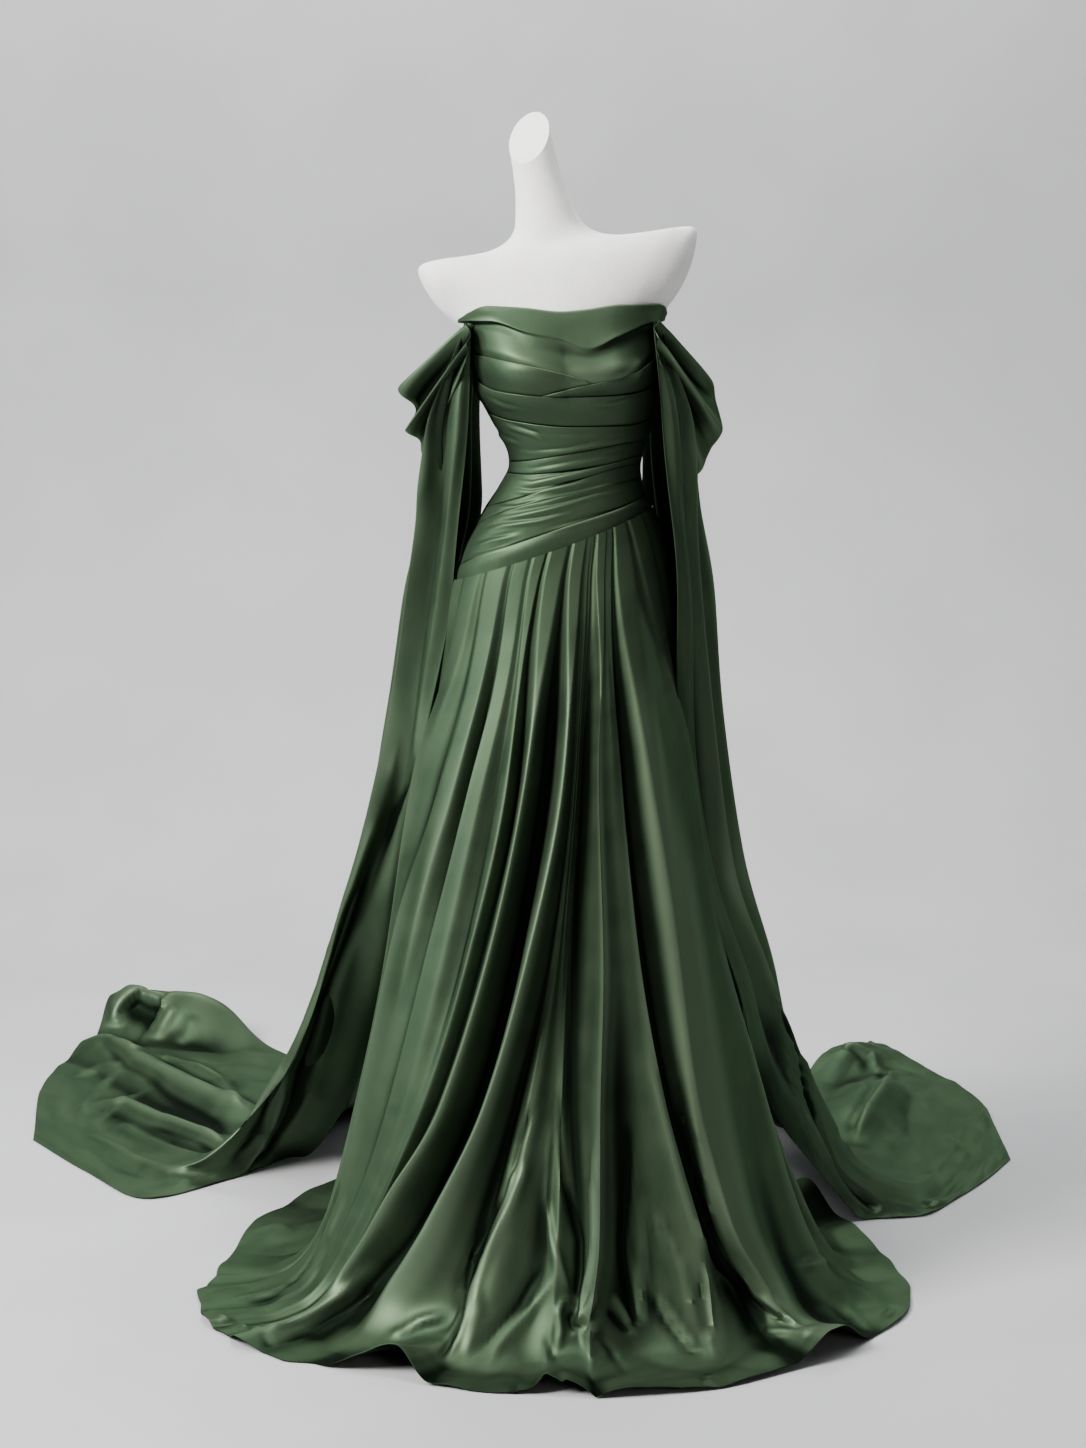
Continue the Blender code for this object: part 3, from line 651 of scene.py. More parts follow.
@dataclass(frozen=True)
class SteelFinish:
    """Brushed steel of the stand."""

    name: str = "brushed_stand_steel"
    colour: Colour = (0.60, 0.60, 0.61, 1.0)
    groove: Colour = (0.52, 0.52, 0.53, 1.0)

    def make(self) -> Material:
        """Builds the material.

        Returns:
            The material.
        """
        graph = Graph(self.name)
        place = graph.add("ShaderNodeTexCoord", output="Object")
        stretched = graph.add("ShaderNodeMapping", in_0=place, Scale=(30.0, 30.0, 1500.0))
        brush = graph.add("ShaderNodeTexNoise", Vector=stretched, Scale=1.0, Detail=4.0)
        colour = brush.between(0.3, 0.7).mix(self.groove, self.colour)
        surface = graph.add(
            "ShaderNodeBsdfPrincipled", Base_Color=colour, Metallic=1.0,
            Roughness=brush.between(0.3, 0.7, 0.24, 0.40),
            Normal=graph.add("ShaderNodeBump", Strength=0.08, Distance=0.0002, Height=brush),
        )
        return graph.finish(surface)


@dataclass(frozen=True)
class StageFinish:
    """The pale floor and the wall behind."""

    name: str = "pale_stage"
    colour: Colour = (0.52, 0.52, 0.53, 1.0)
    fleck: Colour = (0.49, 0.49, 0.50, 1.0)

    def make(self) -> Material:
        """Builds the material.

        Returns:
            The material.
        """
        graph = Graph(self.name)
        place = graph.add("ShaderNodeTexCoord", output="Object")
        cloud = graph.add("ShaderNodeTexNoise", Vector=place, Scale=2.5, Detail=3.0)
        colour = cloud.between(0.35, 0.65).mix(self.fleck, self.colour)
        plain = graph.add("ShaderNodeBsdfPrincipled", Base_Color=colour, Roughness=0.85)
        behind = graph.add("ShaderNodeNewGeometry", output="Backfacing")
        clear = graph.add("ShaderNodeBsdfTransparent")
        return graph.finish(graph.add("ShaderNodeMixShader", in_0=behind, in_1=plain, in_2=clear))


@dataclass
class Finishes:
    """The gown's materials."""

    satin: Material = field(default_factory=lambda: SatinFinish().make())
    shell: Material = field(default_factory=lambda: ShellFinish().make())
    steel: Material = field(default_factory=lambda: SteelFinish().make())
    stage: Material = field(default_factory=lambda: StageFinish().make())


# ---- studio
@dataclass
class Lamp:
    """One softbox."""

    name: str
    place: Place
    aim: Place
    size: Pair
    power: float
    colour: Place = (1.0, 1.0, 1.0)

    def build(self) -> None:
        """Hangs the softbox and turns it to its aim."""
        light = bpy.data.lights.new(self.name, "AREA")
        light.shape = "RECTANGLE"
        light.size, light.size_y = self.size
        light.energy, light.color = self.power, self.colour
        made = bpy.data.objects.new(self.name, light)
        made.location = self.place
        made.rotation_euler = (Vector(self.aim) - Vector(self.place)).to_track_quat("-Z", "Y").to_euler()
        made.visible_camera = False
        bpy.context.scene.collection.objects.link(made)


@dataclass
class Studio:
    """Camera, softboxes, floor and wall."""

    eye: Place = (-0.024, -4.0, 1.45)
    pitch_down_deg: float = 9.0
    lens: float = 71.03
    floor_half: float = 12.0
    wall_y: float = 3.2
    wall_top: float = 5.0
    sweep: float = 1.4
    sweep_steps: int = 24
    sweep_lift: float = 0.0005  # how far the sweep lies over the floor
    sensor: float = 36.0
    sky: Colour = (0.60, 0.62, 0.66, 1.0)
    sky_strength: float = 0.06
    lamps: tuple[Lamp, ...] = (
        Lamp("key_softbox", (-2.9, -2.0, 3.2), (0.0, 0.0, 0.75), (1.4, 1.7), 400.0, (1.0, 0.985, 0.955)),
        Lamp("overhead_softbox", (0.0, -0.4, 3.7), (0.0, 0.1, 0.0), (2.2, 1.4), 90.0, (0.97, 0.99, 1.0)),
        Lamp("front_fill", (1.8, -4.2, 1.9), (0.1, 0.0, 0.8), (1.4, 1.4), 14.0, (1.0, 0.97, 0.92)),
        Lamp("side_rim", (-3.4, -0.5, 1.5), (-0.1, 0.0, 0.8), (0.7, 2.2), 46.0, (0.80, 0.95, 1.0)),
        Lamp("right_rim", (3.2, 1.0, 1.8), (0.1, 0.0, 0.8), (0.5, 2.2), 16.0, (0.92, 1.0, 0.96)),
        Lamp("back_softbox", (0.0, 3.0, 2.9), (0.0, 0.2, 0.2), (3.4, 1.0), 120.0, (1.0, 1.0, 1.0)),
    )

    def build(self, finish: Material) -> None:
        """Sets the studio up.

        Args:
            finish: The floor's and wall's material.
        """
        for lamp in self.lamps:
            lamp.build()
        camera = bpy.data.cameras.new("main_camera")
        camera.lens, camera.sensor_width = self.lens, self.sensor
        made = bpy.data.objects.new("main_camera", camera)
        made.location = self.eye
        made.rotation_euler = (math.radians(90 - self.pitch_down_deg), 0.0, 0.0)
        bpy.context.scene.collection.objects.link(made)
        bpy.context.scene.camera = made
        world = bpy.data.worlds.new("soft_room")
        world.use_nodes = True
        background = world.node_tree.nodes["Background"]
        background.inputs["Color"].default_value = self.sky
        background.inputs["Strength"].default_value = self.sky_strength
        bpy.context.scene.world = world
        self.backdrop(finish)

    def backdrop(self, finish: Material) -> None:
        """A floor, and over its far part a sweep that curves up into a wall and is clear from behind.

        Args:
            finish: Their material.
        """
        half = self.floor_half
        corners = np.array([(-half, -half, 0.0), (half, -half, 0.0), (half, half, 0.0), (-half, half, 0.0)])
        floor = make_object("studio_floor", corners, np.array([[0, 1, 2, 3]]))
        start = self.wall_y - self.sweep
        profile = [(start, self.sweep_lift)]
        for a in np.linspace(0, RIGHT_ANGLE, self.sweep_steps)[1:]:
            profile.append((start + self.sweep * math.sin(a), self.sweep - self.sweep * math.cos(a)))
        profile.append((self.wall_y, self.wall_top))
        x = np.linspace(-half, half, 5)
        grid = np.array([[(across, y, z) for y, z in profile] for across in x])
        index = np.arange(grid.shape[0] * grid.shape[1]).reshape(grid.shape[:2])
        quads = np.stack([index[:-1, :-1], index[1:, :-1], index[1:, 1:], index[:-1, 1:]], -1)
        for stage in (floor, make_object("studio_sweep", grid.reshape(-1, 3), quads.reshape(-1, 4))):
            stage.data.materials.append(finish)


# ---- the dress form
@dataclass
class DressForm:
    """The limbless form that wears the gown, and the measure from which the bodice is laid."""

    # the torso's sections from the hips up: height, middle, half width, depth in front and behind
    torso: tuple[Row, ...] = (
        (800, 0, 148, 104, 116), (900, -1, 154, 106, 121), (970, 0, 151, 104, 120),
        (1026, 1, 144, 99, 114), (1060, 4, 137, 96, 107), (1096, 9, 125, 91, 99),
        (1126, 12, 112, 87, 91), (1154, 15, 97, 83, 84), (1183, 20, 88, 81, 79),
        (1202, 21, 91, 82, 80), (1229, 19, 101, 87, 85), (1257, 14, 112, 97, 91),
        (1290, 8, 122, 109, 97), (1320, 6, 124, 114, 100), (1350, 3, 126, 110, 102),
        (1395, 0, 142, 96, 100), (1424, 0, 172, 87, 95),
    )
    # above the chest the rings are saddles: height at the sides and the middle, then the same four
    saddles: tuple[Row, ...] = (
        (1424, 1424, 0, 172, 87, 95), (1450, 1449, 0, 200, 78, 86),
        (1470, 1468, 0, 214, 69, 76), (1484, 1480, 0, 210, 60, 66),
        (1490, 1486, 0, 196, 54, 59), (1487, 1488, 0, 150, 51, 56),
        (1488, 1492, -1, 100, 49, 54), (1496, 1500, -2, 67, 47, 51),
        (1512, 1515, -3, 48, 44, 47), (1540, 1541, -5, 40, 40, 42),
        (1590, 1590, -9, 32.5, 34, 35), (1700, 1700, -18, 29, 30, 30),
    )
    bend_z: Pair = (1.405, 1.475)
    bend_deg: float = 7.5
    bust_deg: float = 27.0
    bust_z: float = 1.312
    bust_spread: Pair = (21.0, 0.040)
    bust_out: float = 0.013
    # a point on each cut's plane, and the way the cut face looks
    cuts: tuple[tuple[Place, Place], ...] = (
        ((-0.176, 0.0, 1.425), (-0.84, -0.17, -0.52)),
        ((0.166, 0.0, 1.447), (0.90, -0.17, -0.40)),
        ((-0.037, 0.000, 1.637), (-0.43, -0.67, 0.61)),
    )
    # how far each arm stub widens the chest above the armpit, between which heights, and how narrowly
    flares: tuple[tuple[float, float, float, int], ...] = ((0.028, 1.356, 1.394, 8), (0.020, 1.385, 1.424, 5))
    flare_ends: float = 3.0  # by which saddle the stubs have died out
    dome: float = 0.010  # how far the cut faces of the arms swell
    dome_radius: float = 0.060
    around: int = 112
    torso_rings: int = 70
    saddle_rings: int = 60
    voxel: float = 0.0058
    soft_reach: float = 0.034
    soft_rounds: int = 26
    soft_step: float = 0.6
    soft_from: float = 1.36  # above this height everything is smoothed a little, and below it less
    soft_least: Pair = (0.04, 0.10)
    neck_edge_deg: float = 30.0

    def point(self, angle_deg: Array | float, z: Array | float, out: Array | float = 0.0) -> Array:
        """Points on the torso at these angles and heights, moved out from it.

        Args:
            angle_deg: Their angles.
            z: Their heights.
            out: How far off the torso they lie.

        Returns:
            The points.
        """
        angle_deg, z = np.broadcast_arrays(np.asarray(angle_deg, float), np.asarray(z, float))
        a = np.radians(angle_deg)
        heights, *sizes = metres(self.torso).T
        middle, half, front, back = (through(z, heights, column) for column in sizes)
        depth = np.where(np.cos(a) > 0, front, back)
        turn = (np.abs(angle_deg) - self.bust_deg) / self.bust_spread[0]
        rise = (z - self.bust_z) / self.bust_spread[1]
        bust = self.bust_out * np.exp(-(turn**2) - rise**2) * (np.cos(a) > 0)
        across, ahead = np.sin(a), -np.cos(a)
        normal = np.stack([across / half, ahead / depth], -1)
        normal /= np.linalg.norm(normal, axis=-1, keepdims=True)
        reach = np.asarray(out) + bust
        x = middle + half * across + reach * normal[..., 0]
        return np.stack([x, depth * ahead + reach * normal[..., 1], z], -1)

    def bent(self, points: Array) -> Array:
        """Leans the chest, shoulders and neck towards -X about the top of the bodice.

        Args:
            points: Points of the form.

        Returns:
            The leant points.
        """
        x, y, z = points[..., 0], points[..., 1], points[..., 2]
        angle = math.radians(self.bend_deg) * ease(z, *self.bend_z)
        foot = self.bend_z[0]
        over = z - foot
        leant = x * np.cos(angle) - over * np.sin(angle)
        return np.stack([leant, y, foot + over * np.cos(angle) + x * np.sin(angle)], -1)

    def stub(self, sine: Array, z: float, fade: float = 1.0) -> Array:
        """How much further out the arm stubs lie on a ring at this height.

        Args:
            sine: The sine of each point's angle.
            z: The ring's height.
            fade: How much of the stubs is left.

        Returns:
            How far out.
        """
        left, right = (out * float(ease(z, low, high)) * fade * np.abs(sine) ** narrow
                       for out, low, high, narrow in self.flares)
        return np.where(sine < 0, left, right)

    def rings(self) -> Array:
        """All rings of the form, from the hips to the top of the neck.

        Returns:
            Points, rings by points round by 3.
        """
        angles = np.linspace(-180, 180, self.around, endpoint=False)
        a = np.radians(angles)
        body = []
        for z in np.linspace(*metres([self.torso[0][0], self.torso[-1][0]]), self.torso_rings):
            ring = self.point(angles, z)
            ring[:, 0] += self.stub(np.sin(a), z) * np.sign(np.sin(a))
            body.append(ring)
        stations = np.arange(len(self.saddles))
        columns = metres(self.saddles).T
        for place in np.linspace(0, stations[-1], self.saddle_rings)[1:]:
            found = (through(place, stations, column) for column in columns)
            side_z, middle_z, shift, half, front, back = found
            depth = np.where(np.cos(a) > 0, front, back)
            z = middle_z + (side_z - middle_z) * np.sin(a) ** 2
            half = half + self.stub(np.sin(a), math.inf, 1 - float(ease(place, 0.0, self.flare_ends)))
            body.append(np.stack([shift + half * np.sin(a), -depth * np.cos(a), z], -1))
        return self.bent(np.array(body))

    def cutter(self, corner: Place, normal: Place, size: float = 0.5) -> Object:
        """A block whose one face passes through corner, square to normal, on the normal's side.

        Args:
            corner: A point of that face.
            normal: The way it looks.
            size: The block's edge.

        Returns:
            The block.
        """
        way = np.array(normal, float) / np.linalg.norm(normal)
        side = np.cross(way, (0.0, 1.0, 0.0))
        side /= np.linalg.norm(side)
        other = np.cross(way, side)
        turns = ((-1, -1), (1, -1), (1, 1), (-1, 1))
        base = [np.array(corner) + size / 2 * (i * side + j * other) for i, j in turns]
        points = np.array(base + [p + size * way for p in base])
        faces = np.array([(3, 2, 1, 0), (4, 5, 6, 7), (0, 1, 5, 4), (1, 2, 6, 5), (2, 3, 7, 6), (3, 0, 4, 7)])
        return make_object("cutter", points, faces)

    def softened(self, piece: Object) -> None:
        """Rounds the edges of the cuts, the arms' more than the neck's.

        Args:
            piece: The shell.
        """
        mesh = piece.data
        count = len(mesh.vertices)
        points = np.empty(count * 3)
        mesh.vertices.foreach_get("co", points)
        points = points.reshape(-1, 3)
        edges = np.empty(len(mesh.edges) * 2, int)
        mesh.edges.foreach_get("vertices", edges)
        edges = edges.reshape(-1, 2)
        near = np.zeros(count)
        for corner, normal in self.cuts[:2]:
            way = np.array(normal) / np.linalg.norm(normal)
            away = np.abs((points - np.array(corner)) @ way)
            face = (away < self.voxel) & (points[:, 2] > self.flares[1][1])
            middle = points[face].mean(axis=0)
            from_middle = np.linalg.norm(points - middle, axis=1)
            swell = self.dome * np.clip(1 - (from_middle / self.dome_radius) ** 2, 0, 1)
            points += np.where(face, swell, 0.0)[:, None] * way
            near = np.maximum(near, 1 - ease(away, 0.5 * self.soft_reach, self.soft_reach))
        low, high = self.soft_least
        near = np.where(points[:, 2] > self.soft_from, np.maximum(near, high), low)
        valence = np.bincount(edges.ravel(), minlength=count)[:, None]
        for _ in range(self.soft_rounds):
            total = np.zeros_like(points)
            np.add.at(total, edges[:, 0], points[edges[:, 1]])
            np.add.at(total, edges[:, 1], points[edges[:, 0]])
            points += self.soft_step * near[:, None] * (total / valence - points)
        mesh.vertices.foreach_set("co", points.ravel())
        mesh.update()

    def trimmed(self, piece: Object, cuts: Sequence[tuple[Place, Place]]) -> None:
        """Cuts a piece off at these planes.

        Args:
            piece: The shell.
            cuts: A point and a normal of each plane.
        """
        blocks = [self.cutter(corner, normal) for corner, normal in cuts]
        for block in blocks:
            cut = piece.modifiers.new("cut", "BOOLEAN")
            cut.operation, cut.solver, cut.object = "DIFFERENCE", "EXACT", block
        apply_modifiers(piece)
        for block in blocks:
            bpy.data.objects.remove(block)

    def build(self, finishes: Finishes) -> None:
        """Makes the form's smooth shell and dresses the stand.

        Args:
            finishes: The materials.
        """
        rings = self.rings()
        levels, around = rings.shape[:2]
        index = np.arange(levels * around).reshape(levels, around)
        side = np.roll(index, -1, axis=1)
        faces = np.stack([index[:-1], side[:-1], side[1:], index[1:]], -1).reshape(-1, 4)
        caps = []
        for ring, turn in ((index[0], -1), (index[-1], 1)):
            ring = ring[::turn]
            caps += [(ring[i], ring[i + 1], ring[-i - 2], ring[-i - 1]) for i in range(around // 2 - 1)]
        faces = np.concatenate([faces, np.array(caps)])
        piece = make_object("form_shell_smooth", rings.reshape(-1, 3), faces)
        self.trimmed(piece, self.cuts[:2])
        remesh = piece.modifiers.new("even", "REMESH")
        remesh.mode, remesh.voxel_size, remesh.use_smooth_shade = "VOXEL", self.voxel, True
        apply_modifiers(piece)
        self.softened(piece)
        self.trimmed(piece, self.cuts[2:])
        piece.data.shade_smooth()
        piece.data.set_sharp_from_angle(angle=math.radians(self.neck_edge_deg))
        dress(piece, finishes.shell, ["form_torso"])
        for node in ("stand_pole", "stand_base"):
            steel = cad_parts[node]
            steel.data.materials.clear()
            steel.data.materials.append(finishes.steel)


def apply_modifiers(piece: Object) -> None:
    """Turns a piece's evaluated mesh into its own, so that no modifier is left on it.

    Args:
        piece: The piece.
    """
    bpy.context.view_layer.update()
    shown = piece.evaluated_get(bpy.context.evaluated_depsgraph_get())
    mesh = bpy.data.meshes.new_from_object(shown)
    piece.modifiers.clear()
    piece.data = mesh


# ---- the bodice
@dataclass(frozen=True)
class Band:
    """One pleat of the bodice: the heights of its folded top edge at five angles, and its flat cut."""

    node: str
    edge: tuple[float, float, float, float, float]
    flat: Pair
    area: float
    span: Pair = (-89.6, 89.6)
    taper: Pair = (14.0, 14.0)  # over how many degrees its ends die out, where they stop short
    proud: float = 5.0  # how far its edge stands off the form's skin, in millimetres
    puff: float = 1.6  # how far its face swells
    beyond: int = 1  # it runs down to the edge of the band this many places on

    def strength(self, angles: Array) -> Array:
        """1 where the band stands proud, falling to 0 at an end that stops short.

        Args:
            angles: The columns' angles.

        Returns:
            The strength at each.
        """
        found = np.ones_like(angles)
        if self.taper[0]:
            found = found * ease(angles, self.span[0], self.span[0] + self.taper[0])
        if self.taper[1]:
            found = found * (1 - ease(angles, self.span[1] - self.taper[1], self.span[1]))
        return found


Rows = list[tuple[Array, Array | float]]  # heights, and reaches off the form's skin


def folded_edge(
    top: Array, out: Array | float, roll: float, legs: Sequence[float], inset: float, turns: Array
) -> Rows:
    """The rows of a folded top edge: a short hidden leg, then round the fold.

    Args:
        top: The edge's heights.
        out: How far the outer face stands off the skin.
        roll: The fold's radius.
        legs: How far below the edge the leg's rows lie.
        inset: How far inside the outer face they lie.
        turns: The angles of the rows round the fold, in degrees.

    Returns:
        The rows.
    """
    rows = [(top - leg, out - inset) for leg in legs]
    for a in np.radians(turns):
        rows.append((top - roll + roll * math.cos(a), out - roll + roll * math.sin(a)))
    return rows


def stacked(rows: Rows, columns: int) -> tuple[Array, Array]:
    """Rows as two grids, of heights and of reaches."""
    heights, reaches = (np.array([np.broadcast_to(row[i], (columns,)) for row in rows]) for i in (0, 1))
    return heights, reaches


@dataclass
class Bodice:
    """The draped neckline, the pleats laid over each other down to the waist seam, and the back panels."""

    form: DressForm
    angles: Row = (-90.0, -45.0, 0.0, 45.0, 90.0)
    bands: tuple[Band, ...] = (
        Band("pleat_1", (1341, 1334, 1313, 1270, 1250), (0.29, 0.085), 0.0170,
             span=(-89.6, 24.0), taper=(0.0, 12.0), proud=11.0, puff=1.2, beyond=2),
        Band("pleat_2", (1200, 1262, 1292, 1316, 1350), (0.28, 0.065), 0.0120,
             span=(-28.0, 89.6), taper=(26.0, 0.0), proud=10.8, puff=1.0),
        Band("pleat_3", (1316, 1289, 1281.5, 1286, 1303), (0.40, 0.090), 0.0255, proud=8.4, puff=2.0),
        Band("pleat_4", (1262, 1247.5, 1240.4, 1241.5, 1256), (0.35, 0.105), 0.0240,
             proud=6.0, puff=2.0, beyond=2),
        Band("pleat_5", (1186.5, 1193, 1206, 1218, 1223), (0.33, 0.060), 0.0145, puff=1.3),
        Band("pleat_6", (1173, 1174, 1181, 1193, 1203), (0.33, 0.065), 0.0130, puff=1.5),
        Band("pleat_7", (1120, 1140, 1166, 1184.5, 1188), (0.35, 0.080), 0.0240, puff=1.2, beyond=2),
        Band("pleat_8", (1093, 1126, 1149, 1163, 1169), (0.39, 0.080), 0.0220),
        Band("waist_band", (1036, 1069, 1105, 1132, 1148), (0.41, 0.050), 0.0125, puff=1.2),
    )
    seam_middle: float = 1.0745
    seam_rise: float = 0.0515
    seam_front: float = 0.004
    tuck: float = 0.012
    roll: float = 0.0013
    base: float = 2.9  # millimetres from the form's skin to the cloth's face, at a pleat's foot
    under: float = 2.1  # the same, where the cloth is covered
    bury: float = 1.2  # how far inside its covered face a pleat's end lies
    seam_lap: float = 0.0035  # how far the lowest band hangs over the skirt
    full_tall: float = 0.035  # the height from which a face swells fully
    wall: float = 0.0008
    back_wall: float = 0.0012
    back_roll: float = 0.0009
    back_rows: int = 80
    back_columns: int = 48
    lap_columns: int = 9
    column_deg: float = 1.5
    row: float = 0.0021

    def edge_height(self, values: Sequence[float], angle_deg: Array | float) -> Array:
        """A band's edge height at these angles."""
        return through(angle_deg, self.angles, metres(values))

    def seam_height(self, angle_deg: Array | float) -> Array:
        """The waist seam slants down towards -X and rises a little at the front."""
        a = np.radians(angle_deg)
        return self.seam_middle + self.seam_rise * np.sin(a) + self.seam_front * np.maximum(np.cos(a), 0)

    def columns(self, first: float = -89.6, last: float = 89.6) -> Array:
        """The angles of a piece's columns."""
        return np.linspace(first, last, round((last - first) / self.column_deg) + 1)

    def band_grid(self, band: Band, following: Band | None, below: Band | None) -> tuple[Array, Array]:
        """A folded band: a short hidden leg, the rolled edge, and the face down to its foot.

        Args:
            band: The band.
            following: The next band down, whose edge covers this one's face.
            below: The band under whose edge this one's foot is tucked; none at the waist seam.

        Returns:
            The face's points, and the painted shade that the next band down lays on each.
        """
        angles = self.columns(*band.span)
        top = self.edge_height(band.edge, angles)
        if below is None:
            foot = self.seam_height(angles) - self.seam_lap
        else:
            foot = self.edge_height(below.edge, angles) - self.tuck
        tall = np.maximum(top - foot, 0.004)
        ends = band.strength(angles)
        buried = self.under - self.bury
        proud = (buried + (band.proud - buried) * ends) * MM
        legs = self.roll + np.array([0.006, 0.0035, 0.0012])
        rows = folded_edge(top, proud, self.roll, legs, 2 * self.roll + 0.0002, np.linspace(-90, 90, 7))
        count = max(6, round(float(tall.max()) / self.row))
        low = np.minimum(self.base * MM, proud)
        swell = band.puff * MM * np.clip(tall / self.full_tall, 0.25, 1.0) * ends
        for share in np.linspace(0, 1, count + 1)[1:]:
            run = share * (tall - self.roll)
            face = low + (proud - low) * (1 - ease(share, 0.05, 1.0)) ** 1.1
            rows.append((top - self.roll - run, face + swell * np.sin(np.pi * share**0.75) ** 1.3))
        z, out = stacked(rows, len(angles))
        cover_shade = np.zeros_like(z)
        if following is not None:
            edge = self.edge_height(following.edge, angles)
            inside = following.strength(angles)
            hidden = ease(edge[None] - z, -0.001, 0.005) * ease(inside, 0.3, 0.8)
            out = out * (1 - hidden) + self.under * MM * hidden
            # painted shade where the next band covers this one, fading out 5.5 mm above its edge
            cover_shade = 1.1 * ease(edge[None] - z, -0.0055, 0.0) * inside
        return self.form.point(angles[None, :], z, out), cover_shade

    # the cowl's rows from the neckline down, at its own angles: height, and reach off the skin
    cowl_angles: Row = (-90.0, -62.0, -40.0, -20.0, 0.0, 14.0, 32.0, 58.0, 90.0)
    cowl_places: Row = (0.0, 0.8, 1.5, 2.0, 2.3, 2.8, 4.0, 5.6, 6.6, 7.6)
    cowl: tuple[tuple[Row, Row], ...] = (
        ((1385, 1394, 1404, 1402, 1397, 1400, 1406, 1406, 1395),
         (4.5, 4.8, 5, 5.2, 5.5, 5.2, 5, 4.8, 4.5)),
        ((1382, 1390, 1397, 1391, 1383, 1385, 1394, 1397, 1391),
         (8, 8.5, 9, 8, 7.5, 8, 9, 8.5, 8)),
        ((1380, 1387, 1389, 1376, 1364, 1355, 1370, 1387, 1387),
         (7.5, 12.5, 14, 11, 8.5, 10, 13.5, 12.5, 7.5)),
        ((1377, 1383.5, 1384, 1370, 1359.5, 1348, 1364, 1382, 1383.5),
         (8, 14, 15.5, 11.5, 8.6, 10.5, 15, 14, 8)),
        ((1375.5, 1381.5, 1382, 1368, 1358, 1346, 1362, 1380, 1382),
         (6.5, 9.5, 10.5, 9.8, 7.6, 9.5, 10.5, 9.5, 6.5)),
        ((1373.5, 1378.5, 1379, 1365, 1355, 1343, 1359, 1377, 1380),
         (5, 5.2, 5.5, 7.8, 7.2, 7.6, 5.5, 5.2, 5)),
        ((1366, 1370, 1367, 1353, 1341, 1336, 1346, 1366, 1370),
         (5.2, 8, 9.5, 7.5, 4.8, 5.2, 7, 8, 5.2)),
        ((1354, 1350, 1345, 1333, 1312, 1311, 1320, 1341, 1358),
         (6, 10, 12.5, 9.6, 9.2, 10.4, 14, 11.5, 6)),
        ((1344, 1338, 1333, 1322, 1297, 1296, 1306, 1328, 1350),
         (5.6, 7.6, 8.4, 7.2, 7, 7.4, 9.4, 7.6, 5.6)),
        ((1331, 1325, 1320, 1312, 1284, 1284, 1294, 1314, 1338),
         (4, 4.2, 4.2, 4.2, 4.2, 4.2, 4.2, 4.2, 4)),
    )

    def cowl_grid(self) -> Array:
        """The draped neckline, with its folded top edge.

        Returns:
            The face's points.
        """
        angles = self.columns()
        heights = np.array([through(angles, self.cowl_angles, metres(z)) for z, _ in self.cowl])
        reaches = np.array([through(angles, self.cowl_angles, metres(out)) for _, out in self.cowl])
        coarse, fine = np.linspace(0, self.cowl_places[-1], 64), np.linspace(1.6, 3.0, 16)
        shares = np.unique(np.concatenate([coarse, fine]))
        z, out = (np.array([through(shares, self.cowl_places, column) for column in rows.T]).T
                  for rows in (heights, reaches))
        legs = (0.012, 0.007, 0.003)
        turned = folded_edge(z[0], out[0], self.roll, legs, 2 * self.roll, np.linspace(-90, 60, 6))
        turned_z, turned_out = stacked(turned, len(angles))
        z, out = np.concatenate([turned_z, z[1:]]), np.concatenate([turned_out, out[1:]])
        return self.form.point(angles[None, :], z, out)

    gather_wide: float = 4.2
    gather_trough: Place = (5.0, 3.2, -0.9)  # how far above, half width, share of the height
    gather_fade: Pair = (0.4, 0.4)
    # gathers between the pleats: a path from left to right, and its height
    gathers: tuple[tuple[tuple[Pair, ...], float], ...] = (
        (((-86, 1243), (-60, 1236), (-34, 1229), (-8, 1214)), 1.7),
        (((-104, 1236), (-80, 1222), (-50, 1212)), 1.2),
        (((-50, 1232), (0, 1226), (50, 1229), (90, 1234)), 0.9),
        (((-74, 1206), (-40, 1203), (10, 1208), (60, 1220), (100, 1226)), 1.3),
        (((-68, 1179), (-40, 1178), (0, 1186), (60, 1199), (105, 1205)), 1.3),
        (((-80, 1166), (-40, 1163), (10, 1174), (70, 1186)), 1.2),
        (((-85, 1152), (-40, 1150), (20, 1162), (60, 1170)), 1.5),
        (((-30, 1137), (10, 1147), (60, 1158), (100, 1163)), 1.5),
        (((-98, 1126), (-60, 1130), (-20, 1141)), 1.2),
        (((-112, 1108), (-70, 1116), (-10, 1130), (50, 1146), (100, 1153)), 1.4),
        (((-122, 1088), (-80, 1104), (-30, 1112), (30, 1126)), 1.3),
        (((-30, 1095), (20, 1108), (70, 1122), (105, 1132)), 1.4),
        (((-128, 1070), (-95, 1083), (-50, 1094)), 1.2),
        (((-136, 1052), (-105, 1064), (-60, 1079)), 1.0),
        (((40, 1268), (75, 1273), (105, 1282)), 1.1),
        (((-110, 1282), (-80, 1268), (-50, 1262)), 0.9),
    )

    def gathered(self, grid: Array) -> Array:
        """Lays each gather on as a ridge with a narrow trough just above it.

        Args:
            grid: A pleat's points.

        Returns:
            The moved points.
        """
        above, wide, share = self.gather_trough
        creases = []
        for path, high in self.gathers:
            trough = tuple((x, z + above) for x, z in path)
            creases.append(Crease(path, self.gather_wide, high, self.gather_fade))
            creases.append(Crease(trough, wide, share * high, self.gather_fade))
        return creased(grid, creases)

    back_angles: Row = (90.0, 135.0, 180.0, 225.0, 270.0)
    back_edge: Row = (1392, 1366, 1352, 1362, 1386)

